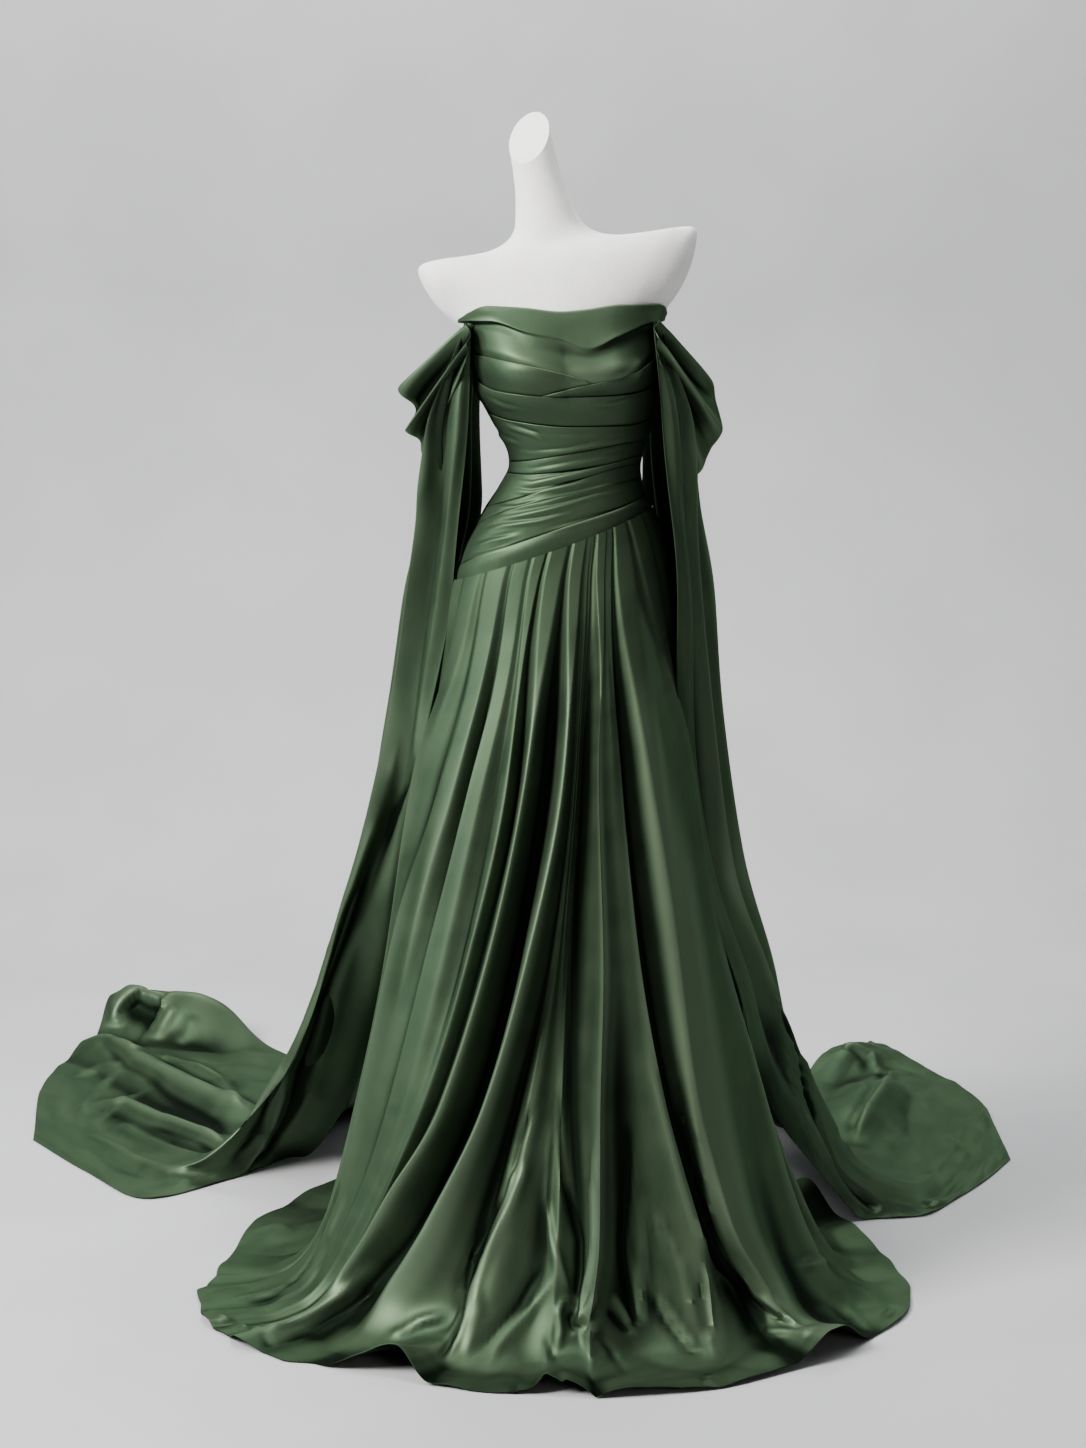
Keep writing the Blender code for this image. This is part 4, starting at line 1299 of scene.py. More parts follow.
    def back_grid(self, first: float, last: float, out: float, columns: int, lap: bool = False) -> Array:
        """A plain back panel, or the lap over the fastening, from its folded top edge to the waist seam.

        Args:
            first: Its first angle, in degrees.
            last: Its last angle.
            out: How far its face stands off the form's skin.
            columns: How many columns it has.
            lap: Whether it is the lap, whose ends are level.

        Returns:
            The outer face's points.
        """
        angles = np.linspace(first, last, columns)
        behind = np.full(columns, 180.0) if lap else angles
        top = through(behind, self.back_angles, metres(self.back_edge))
        low, roll = self.seam_height(behind), self.back_roll
        rows = folded_edge(top, out, roll, (0.009, 0.004), 2 * roll, np.linspace(-90, 90, 6))
        for share in np.linspace(0, 1, self.back_rows)[1:]:
            rows.append((top - roll - share * (top - roll - low), out))
        z, reach = stacked(rows, columns)
        uneven = ripple(angles[None, :] / 38.0, z / 0.07, seed=11) * 0.0005
        return self.form.point(angles[None, :], z, reach + uneven)

    def build(self, finishes: Finishes) -> None:
        """Makes every piece of the bodice.

        Args:
            finishes: The materials.
        """
        satin, form = finishes.satin, ("form_shell_smooth",)
        cowl = Wall("neckline_cowl_satin", self.cowl_grid(), self.wall, relief=0.010)
        sew(cowl, satin)
        ends = [None, None]
        for band, *after in zip(self.bands, [*self.bands[1:], *ends], [*self.bands[2:], *ends]):
            grid, cover_shade = self.band_grid(band, after[0], after[band.beyond - 1])
            wall = Wall(band.node + "_satin", self.gathered(grid), self.wall, relief=0.007, painted_cover_shade=cover_shade)
            sew(wall, satin)
        out = (self.base + 1.3) * MM
        for node, first, last in (("bodice_back_right", 90.0, 179.6), ("bodice_back_left", 180.4, 270.0)):
            wall = Wall(node + "_satin", self.back_grid(first, last, out, self.back_columns), self.back_wall)
            sew(wall, satin)
        lap = self.back_grid(176.4, 183.6, out + 0.0026, self.lap_columns, lap=True)
        sew(Wall("back_lap_satin", lap, self.back_wall), satin)


# ---- folds that run down a sheet
@dataclass(frozen=True)
class FoldLine:
    """A ridge or a valley that runs down a sheet, read at the sheet's stations."""

    name: str
    ridge: bool
    place: Row  # where it lies across the sheet at each station
    stand: Row  # how far it stands out there
    lift: Place = (0.0, 0.0, 0.0)  # how far it stands up off the floor at the last three stations
    crisp: float = 0.0  # 0 round, 1 a sharp crease
    level: float = 0.0  # share of the way to the next line over which it stays level


def ridge(name: str, place: Row, stand: Row, **more: object) -> FoldLine:
    """A fold's crest."""
    return FoldLine(name, True, place, stand, **more)


def valley(name: str, place: Row, stand: Row, **more: object) -> FoldLine:
    """The bottom between two folds."""
    return FoldLine(name, False, place, stand, **more)


def across(place: float) -> Row:
    """The same place at every station."""
    return (place,) * 8


FLAT = across(0)


@dataclass
class FoldedLoft:
    """Lays folds between lines: where every column of a sheet lies and how far it stands out."""

    lines: Sequence[FoldLine]
    stations: Row
    columns_per_gap: int = 12
    flat_until: float = 0.0  # above this share ridges are flat panels with narrow valleys
    flatness: float = 0.0
    crispness: float = 2.4

    def read(self, shares: Array) -> tuple[Array, Array, Array]:
        """Places, stand and lift, each rows by columns.

        Args:
            shares: The rows, from 0 at the top to 1 at the hem.

        Returns:
            Where each point lies across the sheet, how far it stands out and how far up, in metres.
        """
        at = np.array([through(shares, self.stations, line.place) for line in self.lines])
        stand = np.array([through(shares, self.stations, line.stand) for line in self.lines]) * MM
        last = (0.0, *self.stations[-4:])
        lift = np.array([through(shares, last, (0.0, 0.0, *line.lift)) for line in self.lines]) * MM
        t = np.linspace(0, 1, self.columns_per_gap + 1)[:-1]
        waist = (1 - ease(shares, 0.0, max(self.flat_until, 1e-6)))[:, None]
        places, stands, lifts = [], [], []
        for j in range(len(self.lines) - 1):
            one, two = self.lines[j], self.lines[j + 1]
            span = t if j < len(self.lines) - 2 else np.append(t, 1.0)
            run = np.broadcast_to(span, (len(shares), len(span)))
            # at the waist the crests are flat panels between narrow valleys
            level = [line.level * (1 - waist) + self.flatness * line.ridge * waist for line in (one, two)]
            steep = np.clip((run - level[0]) / (1 - level[0] - level[1]), 0, 1)
            shape = 3 * steep**2 - 2 * steep**3
            shape += self.crispness * one.crisp * (steep**3 - 2 * steep**2 + steep)
            shape += self.crispness * two.crisp * (steep**3 - steep**2)
            places.append(at[j][:, None] * (1 - run) + at[j + 1][:, None] * run)
            stands.append(stand[j][:, None] * (1 - shape) + stand[j + 1][:, None] * shape)
            lifts.append(lift[j][:, None] * (1 - shape) + lift[j + 1][:, None] * shape)
        return np.concatenate(places, 1), np.concatenate(stands, 1), np.concatenate(lifts, 1)


# ---- the skirt
STATIONS = (0.00, 0.10, 0.25, 0.43, 0.60, 0.74, 0.84, 1.00)  # from the waist seam to the hem


# the small folds where the skirt breaks on the floor
SKIRT_CREASES: tuple[Crease, ...] = tuple(Crease(*row) for row in (
    (((-21, -233, 336), (-45, -245, 313), (-60, -248, 282), (-70, -256, 245), (-80, -265, 210),
        (-94, -263, 173), (-119, -267, 127), (-128, -286, 87), (-133, -312, 58), (-146, -330, 32),
        (-162, -366, 14)), 6.5, -4.9, (0.15, 0.05)),
    (((-45, -259, 260), (-69, -275, 205), (-105, -291, 126), (-119, -302, 88), (-127, -325, 57),
        (-143, -342, 26), (-157, -365, 13)), 9, 6, (0.1, 0.1), 0.5),
    (((-39, -241, 328), (-57, -251, 282), (-71, -264, 232)), 11, -6),
    (((-21, -294, 127), (-55, -315, 78), (-88, -338, 46), (-121, -368, 14)), 9, -4),
    (((-1, -308, 123), (-41, -322, 67), (-82, -349, 28), (-110, -398, 4)), 10, 4),
    (((-110, -300, 107), (-112, -325, 67), (-120, -341, 39), (-137, -376, 8)), 8, 4),
    (((-11, -234, 320), (-16, -251, 258), (-19, -265, 205), (-12, -287, 160), (-1, -305, 130),
        (9, -314, 98), (15, -321, 81)), 9, 5, (0.25, 0.1), -0.4),
    (((-1, -225, 360), (2, -245, 297), (6, -262, 229), (17, -272, 186), (26, -284, 153), (25, -302, 116),
        (20, -320, 81)), 8, -6, (0.25, 0.05)),
    (((17, -320, 81), (3, -325, 81), (-3, -333, 70), (0, -346, 47), (-2, -365, 24)), 6.5, 4.9, (0.1, 0.35)),
    (((17, -327, 70), (11, -334, 61), (17, -346, 43)), 6.5, -4.9),
    (((48, -270, 320), (43, -282, 222), (43, -302, 162), (31, -317, 92),
        (23, -339, 52)), 8, 6, (0.3, 0.02), 0.3),
    (((22, -343, 48), (38, -359, 50), (56, -343, 49)), 6.5, 4),
    (((53, -334, 74), (39, -351, 65), (27, -348, 43)), 6.5, -4.9),
    (((62, -327, 74), (83, -329, 48), (97, -331, 39)), 6.5, -4.9),
    (((49, -334, 99), (36, -336, 76), (24, -336, 56)), 6.5, 4),
    (((67, -316, 90), (87, -318, 62), (97, -324, 48)), 6.5, 4.9, (0.3, 0.05)),
    (((95, -240, 320), (91, -259, 227), (84, -286, 139), (95, -307, 78),
        (105, -326, 44)), 9, -6, (0.3, 0.05)),
    (((109, -258, 228), (112, -280, 140), (109, -299, 90), (105, -326, 44)), 7, 5, (0.3, 0.05), 0.4),
    (((124, -261, 215), (138, -271, 175), (163, -288, 120), (177, -304, 73),
        (189, -322, 40)), 7, 5, (0.2, 0.2), -0.4),
    (((185, -279, 142), (192, -297, 85), (198, -320, 40), (194, -417, 6)), 7, -5.2, (0.25, 0.02), -0.4),
    (((196, -284, 117), (201, -299, 74), (199, -331, 28), (193, -432, 6)), 6.5, 4.9, (0.1, 0), 0.5),
    (((116, -296, 96), (136, -316, 54), (165, -337, 26), (184, -351, 16)), 6.5, -4.9, (0.3, 0.1)),
    (((133, -298, 92), (153, -315, 56), (173, -332, 30), (183, -342, 21)), 6.5, 4.9, (0.3, 0.1)),
    (((108, -220, 453), (127, -235, 368), (148, -249, 290), (166, -261, 219), (190, -273, 155),
        (228, -248, 77), (281, -275, 25)), 8, 5, (0.3, 0.05), -0.2),
    (((154, -195, 393), (168, -211, 297), (186, -223, 209), (206, -234, 150), (245, -243, 80),
        (285, -276, 27)), 6.5, -4.9, (0.25, 0.05)),
    (((166, -202, 393), (189, -225, 276), (206, -235, 179), (228, -241, 116), (269, -253, 61),
        (313, -282, 37), (338, -325, 35)), 7, 5.2, (0.25, 0.1), 0.4),
    (((234, -241, 97), (260, -250, 57), (293, -273, 40), (320, -301, 30)), 6.5, -4.9),
    (((274, -276, 21), (304, -291, 26), (333, -318, 34), (392, -241, 7),
        (419, -265, 7)), 6.5, 4.9, (0.1, 0.1)),
    (((321, -158, 76), (354, -116, 71), (394, 1, 38)), 6.5, -3),
    (((329, -156, 66), (371, -103, 57), (401, 4, 30)), 6.5, 3),
    (((400, 0, 30), (421, -2, 13), (451, -41, 3)), 6.5, -2.5),
    (((376, -155, 21), (401, -192, 5), (415, -261, 7)), 6.5, -3),
    (((403, -138, 14), (418, -194, 5), (427, -253, 4)), 6.5, 3),
    (((454, -190, 5), (473, -137, 6)), 6.5, -3),
    (((-19, -454, 26), (-24, -370, 19), (-19, -350, 41)), 10, 5, (0, 0.6)),
    (((-24, -345, 45), (-12, -367, 23), (1, -455, 25)), 6.5, -4, (0.25, 0)),
    (((-61, -445, 5), (-69, -390, 3)), 6.5, -4, (0, 0.6)),
    (((47, -350, 49), (66, -358, 24), (91, -402, 8)), 6.5, -3),
    (((-245, -205, 95), (-306, -212, 47), (-362, -233, 21), (-410, -264, 16)), 10, 6, (0.25, 0.1)),
    (((-217, -263, 114), (-266, -209, 48), (-319, -228, 21), (-371, -270, 6), (-401, -294, 6)), 6.5, -4.9),
    (((-220, -306, 25), (-190, -298, 43), (-160, -300, 51), (-137, -304, 59)), 12, 7, (0, 0.5)),
    (((-308, -79, 179), (-341, -59, 90), (-367, -80, 40), (-406, -104, 11),
        (-449, -123, 4)), 8, -6, (0.2, 0.1)),
    (((-296, -111, 177), (-325, -97, 100), (-346, -136, 52), (-385, -149, 20), (-436, -180, 11)), 9, 4),
    (((-500, -151, 3), (-468, -205, 10), (-437, -223, 4), (-410, -264, 16)), 6.5, 4.9, (0.1, 0.1)),
    (((-477, -122, 6), (-423, -97, 9), (-368, -105, 25)), 6.5, 3),
    (((-464, -94, 6), (-415, -75, 12), (-362, -97, 33)), 6.5, -2.5),
    (((-477, 170, 7), (-426, 195, 9), (-364, 131, 27)), 6.5, 3),
    (((-397, -297, 4), (-406, -267, 15)), 6.5, -4),
))


@dataclass(frozen=True)
class Panel:
    """One gore of the skirt: the lines that it lies between, and its flat cut."""

    node: str
    first: str
    last: str
    flat: Pair
    area: float


@dataclass
class Skirt:
    """The A-line skirt: knife pleats at the seam that open into long folds and break on the floor."""

    bodice: Bodice
    share: Row = (0.00, 0.08, 0.20, 0.40, 0.60, 0.74, 0.83, 0.885, 0.93, 1.00)
    z: Row = (1.070, 0.965, 0.820, 0.580, 0.330, 0.150, 0.052, 0.014, 0.002, 0.002)
    left: Row = (0.147, 0.161, 0.182, 0.218, 0.266, 0.308, 0.348, 0.388, 0.430, 0.492)
    right: Row = (0.147, 0.156, 0.172, 0.208, 0.270, 0.330, 0.378, 0.412, 0.445, 0.498)
    front: Row = (0.102, 0.118, 0.150, 0.203, 0.260, 0.306, 0.344, 0.375, 0.406, 0.452)
    back: Row = (0.117, 0.134, 0.160, 0.216, 0.290, 0.360, 0.425, 0.480, 0.540, 0.640)
    seam_fade: float = 0.45
    hip_share: float = 0.10
    hips_out: float = 0.0058
    wall: float = 0.0012
    floor_gap: float = 0.0016
    floor: float = 0.0004
    rows: int = 154
    columns_per_gap: int = 13
    bunched: float = 0.060  # how far the rows are pushed down towards the hem
    upright_until: Pair = (0.70, 0.86)  # between which shares the cloth turns on to the floor
    pleated_until: float = 0.20
    pleat_flatness: float = 0.62
    crease_softness: float = 0.008
    lines: tuple[FoldLine, ...] = (
        valley("side_left", (-66, -74, -96, -104, -102, -100, -98, -98), (0, 0, -4, -8, -12, -12, -8, 0)),
        ridge("p1", (-58, -64, -82, -92, -94, -92, -90, -88), (1, 9, 20, 18, 14, 12, 10, 8),
              lift=(6, 4, 6), level=0.2),
        valley("v1", (-47, -50, -60, -78, -84, -86, -87, -84), (-1, 2, 8, 4, -4, -8, -6, 20)),
        ridge("p2", (-38, -41, -49, -64, -74, -80, -83, -78), (1, 7, 17, 20, 18, 16, 14, 36),
              lift=(8, 5, 4), level=0.42),
        valley("v2", (-29, -33, -41, -51, -57, -64, -71, -71), (-1, -3, -9, 2, 8, 8, 4, 42)),
        ridge("p3", (-24, -27, -36, -46, -52, -60, -66, -67), (1, 4, 14, 18, 20, 21, 18, 46),
              lift=(10, 8, 10), level=0.45),
        valley("v3b", (-18, -21, -27, -35, -43, -54.5, -61.6, -64), (0, 1, 3, 5, 15, 17, 14, 44)),
        ridge("p3b", (-13, -18, -21.5, -31, -41, -53.4, -60.8, -62), (1, 4, 12, 15, 16, 16, 10, 42),
              lift=(6, 4, 2)),
        valley("v4", (-9.4, -15.5, -18.5, -27.5, -38.5, -52, -60, -60), (-1, -5, -12, -4, 0, 2, -2, 38)),
        ridge("p4", (-3, -8.5, -14, -23, -34, -48, -57, -56), (1, 4, 15, 21, 26, 26, 22, 46),
              lift=(28, 18, 14)),
        valley("v5", (3.6, -1, -7, -17, -27, -40, -50, -48), (-1, -10, -34, -40, -38, -26, -10, 30),
               level=0.20),
        ridge("p5", (9, 6, 1, -10, -21.5, -34.5, -43, -41), (1, 5, 17, 22, 25, 22, 14, 8), lift=(16, 6, 0)),
        valley("v5b", (13, 10, 6, -3, -14, -22, -25, -27), (0, -3, -22, -28, -30, -24, -12, -10),
               lift=(0, 8, 44)),
        ridge("p5b", (14.4, 12, 7.4, -0.5, -9.5, -16.5, -20, -20), (0, -4, -24, -29, -16, -6, 6, -2),
              lift=(8, 4, 4), level=0.10),
        valley("v5c", (15.4, 13, 8.6, 1.4, -2.6, -5, -8, -11), (0, -6, -28, -34, -28, -22, -8, 2),
               level=0.10),
        ridge("p5c", (16.4, 14, 9.8, 3.2, 0.4, -0.8, -2, -5), (0, -7, -31, -38, -25, -9, 0, 0),
              lift=(4, 2, 6), crisp=0.3),
        valley("v6", (17.2, 15, 11, 5, 3, 4.2, 3, -2), (-1, -9, -34, -42, -36, -20, -6, 2),
               lift=(2, 4, 24), level=0.10),
        ridge("p6", (23, 21, 15.5, 14, 10.5, 8.5, 5.5, 5), (1, 4, 16, 22, 22, 20, 14, 14),
              lift=(6, 2, 2), crisp=0.9),
        valley("v6b", (25, 23, 22, 21, 18, 16.5, 15, 11), (0, 2, 10, 10, -8, -14, -10, 16), lift=(0, 0, 13)),
        ridge("p6b", (27, 25, 26.5, 27.5, 30, 33, 31, 24), (0, 2, 6, 14, 18, 18, 14, 20),
              lift=(10, 6, 2), crisp=0.3),
        valley("v7", (29.4, 28, 31, 33, 34.5, 38, 42, 37), (-1, -6, -24, -24, -18, -14, -8, 12),
               lift=(2, 6, 8), level=0.08),
        ridge("p7", (34, 35, 40, 44, 41, 41.5, 46.5, 46), (1, 5, 17, 24, 26, 26, 22, 18),
              lift=(18, 22, 42), level=0.12),
        valley("v8", (41, 50, 62, 68, 66, 62, 60, 57), (-1, 0, 8, 14, 8, 2, -2, 12), lift=(2, 4, 2)),
        ridge("p8", (48, 58, 74, 80, 80, 76, 74, 70), (1, 2, 12, 14, 14, 12, 10, 20), lift=(4, 4, 4)),
        valley("side_right", (58, 68, 82, 90, 90, 88, 86, 82), (0, 0, -4, -8, -10, -10, -8, 12)),
    )
    # the hidden folds: crest angle at the waist and the hem, half depth, the arch's lift, reach at the hem
    back_folds: tuple[tuple[float, float, float, float, float], ...] = (
        (76, 92, 10, 6, -6), (97, 108, 13, 8, -20), (117, 124, 21, 30, -18), (136, 139, 14, 9, -12),
        (154, 158, 25, 34, 16), (174, 176, 16, 10, -6), (193, 196, 20, 20, 4), (214, 216, 24, 26, 14),
        (233, 235, 15, 9, -10), (250, 250, 13, 8, 4),
    )
    # how far on its way from the waist to the hem a hidden line lies at each station
    back_spread: Row = (0.0, 0.15, 0.40, 0.65, 1.0, 1.0, 1.0, 1.0)
    panels: tuple[Panel, ...] = (
        Panel("skirt_front", "side_left", "side_right", (1.45, 1.36), 1.20),
        Panel("skirt_side_right", "side_right", "b1", (0.30, 1.25), 0.20),
        Panel("skirt_back_right", "b1", "b4", (0.55, 1.40), 0.42),
        Panel("skirt_back_left", "b4", "b7", (0.55, 1.40), 0.42),
        Panel("skirt_side_left", "b7", "end", (0.36, 1.30), 0.25),
    )
    creases: tuple[Crease, ...] = SKIRT_CREASES

    def hidden_lines(self) -> list[FoldLine]:
        """The ridges and valleys round the back, from the right side to the left.

        Returns:
            The lines in order.
        """
        found = []
        folds = self.back_folds
        for i, (waist, hem, deep, arch, reach) in enumerate(folds):
            sway = 2.0 * math.sin(2.1 * i)
            places = [waist + share * (hem - waist) for share in self.back_spread]
            places[2:5] = places[2] + sway, places[3] + sway, places[4] + 0.5 * sway
            stands = (1, 3, 0.55 * deep, 0.8 * deep, deep, deep, 0.7 * deep, reach)
            lift = (0.5 * deep, 0.4 * deep, arch)
            found.append(ridge(f"b_ridge_{i}", tuple(places), stands, lift=lift))
            if i < len(folds) - 1:
                after = folds[i + 1]
                share = 0.5 + 0.1 * math.sin(3.7 * i)
                top, foot = waist + share * (after[0] - waist), hem + share * (after[1] - hem)
                down = 0.5 * (deep + after[2])
                places = tuple(top + share * (foot - top) for share in self.back_spread)
                stands = (-1, -3, -0.5 * down, -0.8 * down, -down, -0.9 * down, -0.5 * down,
                          0.5 * (reach + after[4]))
                found.append(valley(f"b{i}", places, stands))
        return found

    def all_lines(self) -> list[FoldLine]:
        """Every line once round, the first repeated at the end.

        Returns:
            The lines in order.
        """
        first = self.lines[0]
        end = replace(first, name="end", place=tuple(place + 360 for place in first.place))
        return [*self.lines, *self.hidden_lines(), end]

    def surface(self, shares: Array, angle_deg: Array, stand: Array, lift: Array) -> Array:
        """Points of the skirt's outer face.

        Args:
            shares: The rows, from 0 at the seam to 1 at the hem.
            angle_deg: Rows by columns.
            stand: How far each point stands out.
            lift: How far each point stands up.

        Returns:
            Points, rows by columns by 3.
        """
        a = np.radians(angle_deg)

        def half(sine: Array, positive: Sequence[float], negative: Sequence[float]) -> Array:
            """The section's half size on each side."""
            one, two = (through(shares, self.share, side)[:, None] for side in (positive, negative))
            return np.where(sine > 0, one, two)

        rx, ry = half(np.sin(a), self.right, self.left), half(np.cos(a), self.front, self.back)
        level = (1 - ease(shares, 0, self.seam_fade))[:, None]
        seam = self.bodice.seam_height(angle_deg)
        z = through(shares, self.share, self.z)[:, None] + (seam - self.z[0] - 0.0006) * level
        base = np.stack([rx * np.sin(a), -ry * np.cos(a), z], -1)
        hips = self.bodice.form.point(angle_deg, z, self.hips_out)
        near = (1 - ease(shares, 0.0, self.hip_share))[:, None, None]
        base = base * (1 - near) + hips * near
        out = np.stack([np.sin(a) / rx, -np.cos(a) / ry], -1)
        out /= np.linalg.norm(out, axis=-1, keepdims=True)
        base[..., :2] += out * stand[..., None]
        base[..., 2] += lift
        return base

    def build(self, finishes: Finishes) -> None:
        """Makes the five panels.

        Args:
            finishes: The materials.
        """
        lines = self.all_lines()
        names = [line.name for line in lines]
        loft = FoldedLoft(lines, STATIONS, self.columns_per_gap, self.pleated_until, self.pleat_flatness)
        even = np.linspace(0, 1, self.rows)
        shares = even + self.bunched * np.sin(math.pi * even) ** 2
        down = shares[:, None]
        places, stand, lift = loft.read(shares)
        upright = 1 - ease(down, *self.upright_until)
        uneven = ripple(places / 17.0, down * 2.2, seed=3) * 0.0022 * ease(down, 0.08, 0.4)
        lying = ripple(places / 13.0, down * 9.0, seed=5) * 0.0016 * (1 - upright)
        grid = self.surface(shares, places, stand + uneven * upright, lift + np.abs(lying))
        grid = creased(grid, self.creases, soft=self.crease_softness)
        grid[:, :, 2] = np.maximum(grid[:, :, 2], self.wall + self.floor_gap)
        for panel in self.panels:
            start, end = (names.index(name) * loft.columns_per_gap for name in (panel.first, panel.last))
            part = grid[:, start : end + 1]
            wall = Wall(panel.node + "_satin", part, self.wall, hemmed=(Edge.LAST_ROW,))
            sew(wall, finishes.satin, self.floor)


# ---- the sleeves
@dataclass(frozen=True)
class FloorRoll:
    """A long fold that lies on the floor, in millimetres."""

    start: Pair
    end: Pair
    wide: float
    high: float


@dataclass
class CapeSleeve:
    """A sleeve panel that falls from the upper arm to the floor and trails there.

    Its folds' places are in hundredths of its width, as the drapes' are.
    """

    node: str
    outward: float
    front: tuple[Place, ...]
    outer: tuple[Place, ...]
    back: tuple[Place, ...]
    lines: tuple[FoldLine, ...]
    stations: Row
    rolls: tuple[FloorRoll, ...]
    creases: tuple[Crease, ...]
    flat: Pair
    wall: float = 0.0012
    floor: float = 0.0004
    rows_per_section: tuple[int, int] = (8, 24)  # hanging, and on the floor
    lying_sections: int = 5
    columns_per_gap: int = 18
    floor_gap: float = 0.0016
    gathered_until: float = 0.9  # by which section the folds have opened out from the neckline's corner
    lying_from: Pair = (0.06, 0.004)  # between which heights it turns on to the floor
    lying_stand: float = 0.45  # how much of the folds' height is left there
    softness: Pair = (0.020, 0.016)  # over which radius folds and creases find their direction
    uneven: Pair = (0.003, 0.0014)  # hanging, and on the floor
    shaped: float = 0.585  # the share of its flat rectangle that the cut fills

    def grid(self) -> Array:
        """The sleeve's outer face.

        Returns:
            The face's points.
        """
        count = len(self.front)
        hanging = count - 1 - self.lying_sections
        few, many = self.rows_per_section
        on_floor = hanging + np.arange(self.lying_sections * many + 1) / many
        rows = np.concatenate([np.arange(hanging * few) / few, on_floor])
        stations = np.arange(count)
        ends = [
            np.stack([through(rows, stations, column) for column in metres(edge).T], -1)
            for edge in (self.front, self.outer, self.back)
        ]
        loft = FoldedLoft(self.lines, self.stations, self.columns_per_gap)
        place, stand, _ = loft.read(rows / (count - 1))
        place = place / 100.0
        stand = stand * ease(rows, -0.3, self.gathered_until)[:, None]
        smooth = arc_between(*ends, place)
        normals = self.outward * lattice_normals(blurred(smooth, self.softness[0]))
        lying = ease(smooth[:, :, 2], *self.lying_from)
        stand = stand * (1 - lying) + np.maximum(stand, 0) * self.lying_stand * lying
        grid = smooth + normals * stand[:, :, None]
        grid[:, :, 2] += self.roll_height(grid[:, :, 0], grid[:, :, 1]) * lying
        u, v = place * 3.0, rows[:, None] * 0.45
        uneven = ripple(u, v, seed=17) * self.uneven[0] * (1 - lying)
        uneven += np.abs(ripple(u * 2.2, v * 2.0, seed=23)) * self.uneven[1] * lying
        grid = grid + normals * uneven[..., None]
        grid = creased(grid, self.creases, self.outward, soft=self.softness[1])
        grid[:, :, 2] = np.maximum(grid[:, :, 2], self.wall + self.floor_gap)
        return grid

    def roll_height(self, x: Array, y: Array) -> Array:
        """How high the folds on the floor stand at these places.

        Args:
            x: The places across.
            y: The places along.

        Returns:
            The height at each.
        """
        height = np.zeros_like(x)
        for roll in self.rolls:
            start, end = metres(roll.start), metres(roll.end)
            wide, high = metres((roll.wide, roll.high))
            run, dx, dy = end - start, x - start[0], y - start[1]
            length = np.linalg.norm(run)
            along, aside = (dx * run[0] + dy * run[1]) / length, np.abs(dx * run[1] - dy * run[0]) / length
            ends = ease(along, -wide, wide) * (1 - ease(along, length - wide, length + wide))
            height = np.maximum(height, high * ends * (1 - ease(aside, 0, wide)))
        return height

    def build(self, finishes: Finishes) -> None:
        """Makes the sleeve.

        Args:
            finishes: The materials.
        """
        hems = (Edge.LAST_ROW, Edge.FIRST_COLUMN, Edge.LAST_COLUMN)
        wall = Wall(self.node + "_satin", self.grid(), self.wall, self.outward, hems)
        area = math.prod(self.flat) * self.shaped
        sew(wall, finishes.satin, self.floor)


CAPE_STATIONS = (0.0, 0.15, 0.30, 0.45, 0.60, 0.72, 0.85, 1.0)
LEFT_FOLDS = (
    valley("front_hem", FLAT, FLAT),
    ridge("a", (5, 6, 8, 7, 6, 6, 6, 6), (4, 6, 6, 4, 3, 3, 3, 3)),
    valley("ab", (12, 14, 19, 18, 15, 14, 14, 14), (-4, -12, -10, -7, -4, -2, -2, -2)),
    ridge("b", (24, 27, 31, 34, 37, 38, 38, 38), (6, 13, 13, 10, 9, 6, 8, 6), crisp=0.5),
    valley("bc", (32, 34.5, 38, 42, 46, 48, 50, 50), (-8, -20, -12, -3, -2, -4, -5, -5)),
    ridge("c", (43, 45, 47, 51, 55, 58, 60, 60), (6, 13, 12, 10, 9, 5, 9, 8), crisp=0.3),
    valley("cd", (55, 57, 58, 60, 64, 67, 69, 70), (-6, -15, -16, -14, -9, -4, -5, -5)),
    ridge("d", (67, 68, 69, 70, 73, 76, 78, 78), (6, 12, 15, 14, 12, 8, 10, 8)),
    valley("de", (78, 79, 80, 81, 82, 84, 86, 86), (-6, -14, -17, -16, -10, -4, -5, -5)),
    ridge("e", (89, 89, 90, 90, 91, 92, 93, 93), (6, 11, 14, 13, 10, 6, 9, 6)),
    valley("back_hem", across(100), FLAT),
)
RIGHT_FOLDS = (
    valley("front_hem", FLAT, FLAT),
    ridge("a", (7, 8, 9, 8, 7, 7, 7, 7), (5, 8, 8, 6, 4, 3, 3, 3), level=0.2),
    valley("ab", (15, 17, 19, 19, 16, 15, 15, 15), (-4, -10, -9, -9, -5, -2, -2, -2)),
    ridge("b", (22, 24, 27, 31, 34, 36, 37, 37), (6, 12, 13, 12, 10, 6, 8, 6), crisp=0.7),
    valley("bc", (33, 34, 36, 40, 43, 46, 48, 48), (-6, -14, -8, -6, -8, -4, -5, -5)),
    ridge("c", (44, 46, 47, 50, 53, 57, 59, 60), (6, 13, 14, 12, 12, 6, 9, 8), crisp=0.3),
    valley("cd", (55, 57, 58, 60, 63, 67, 69, 70), (-6, -15, -15, -14, -9, -4, -5, -5)),
    ridge("d", (68, 69, 69, 70, 73, 76, 78, 78), (6, 12, 14, 14, 12, 8, 10, 8)),
    valley("de", (79, 80, 80, 81, 82, 84, 86, 86), (-6, -14, -16, -16, -10, -4, -5, -5)),
    ridge("e", (90, 90, 90, 90, 91, 92, 93, 93), (6, 11, 13, 13, 10, 6, 9, 6)),
    valley("back_hem", across(100), FLAT),
)
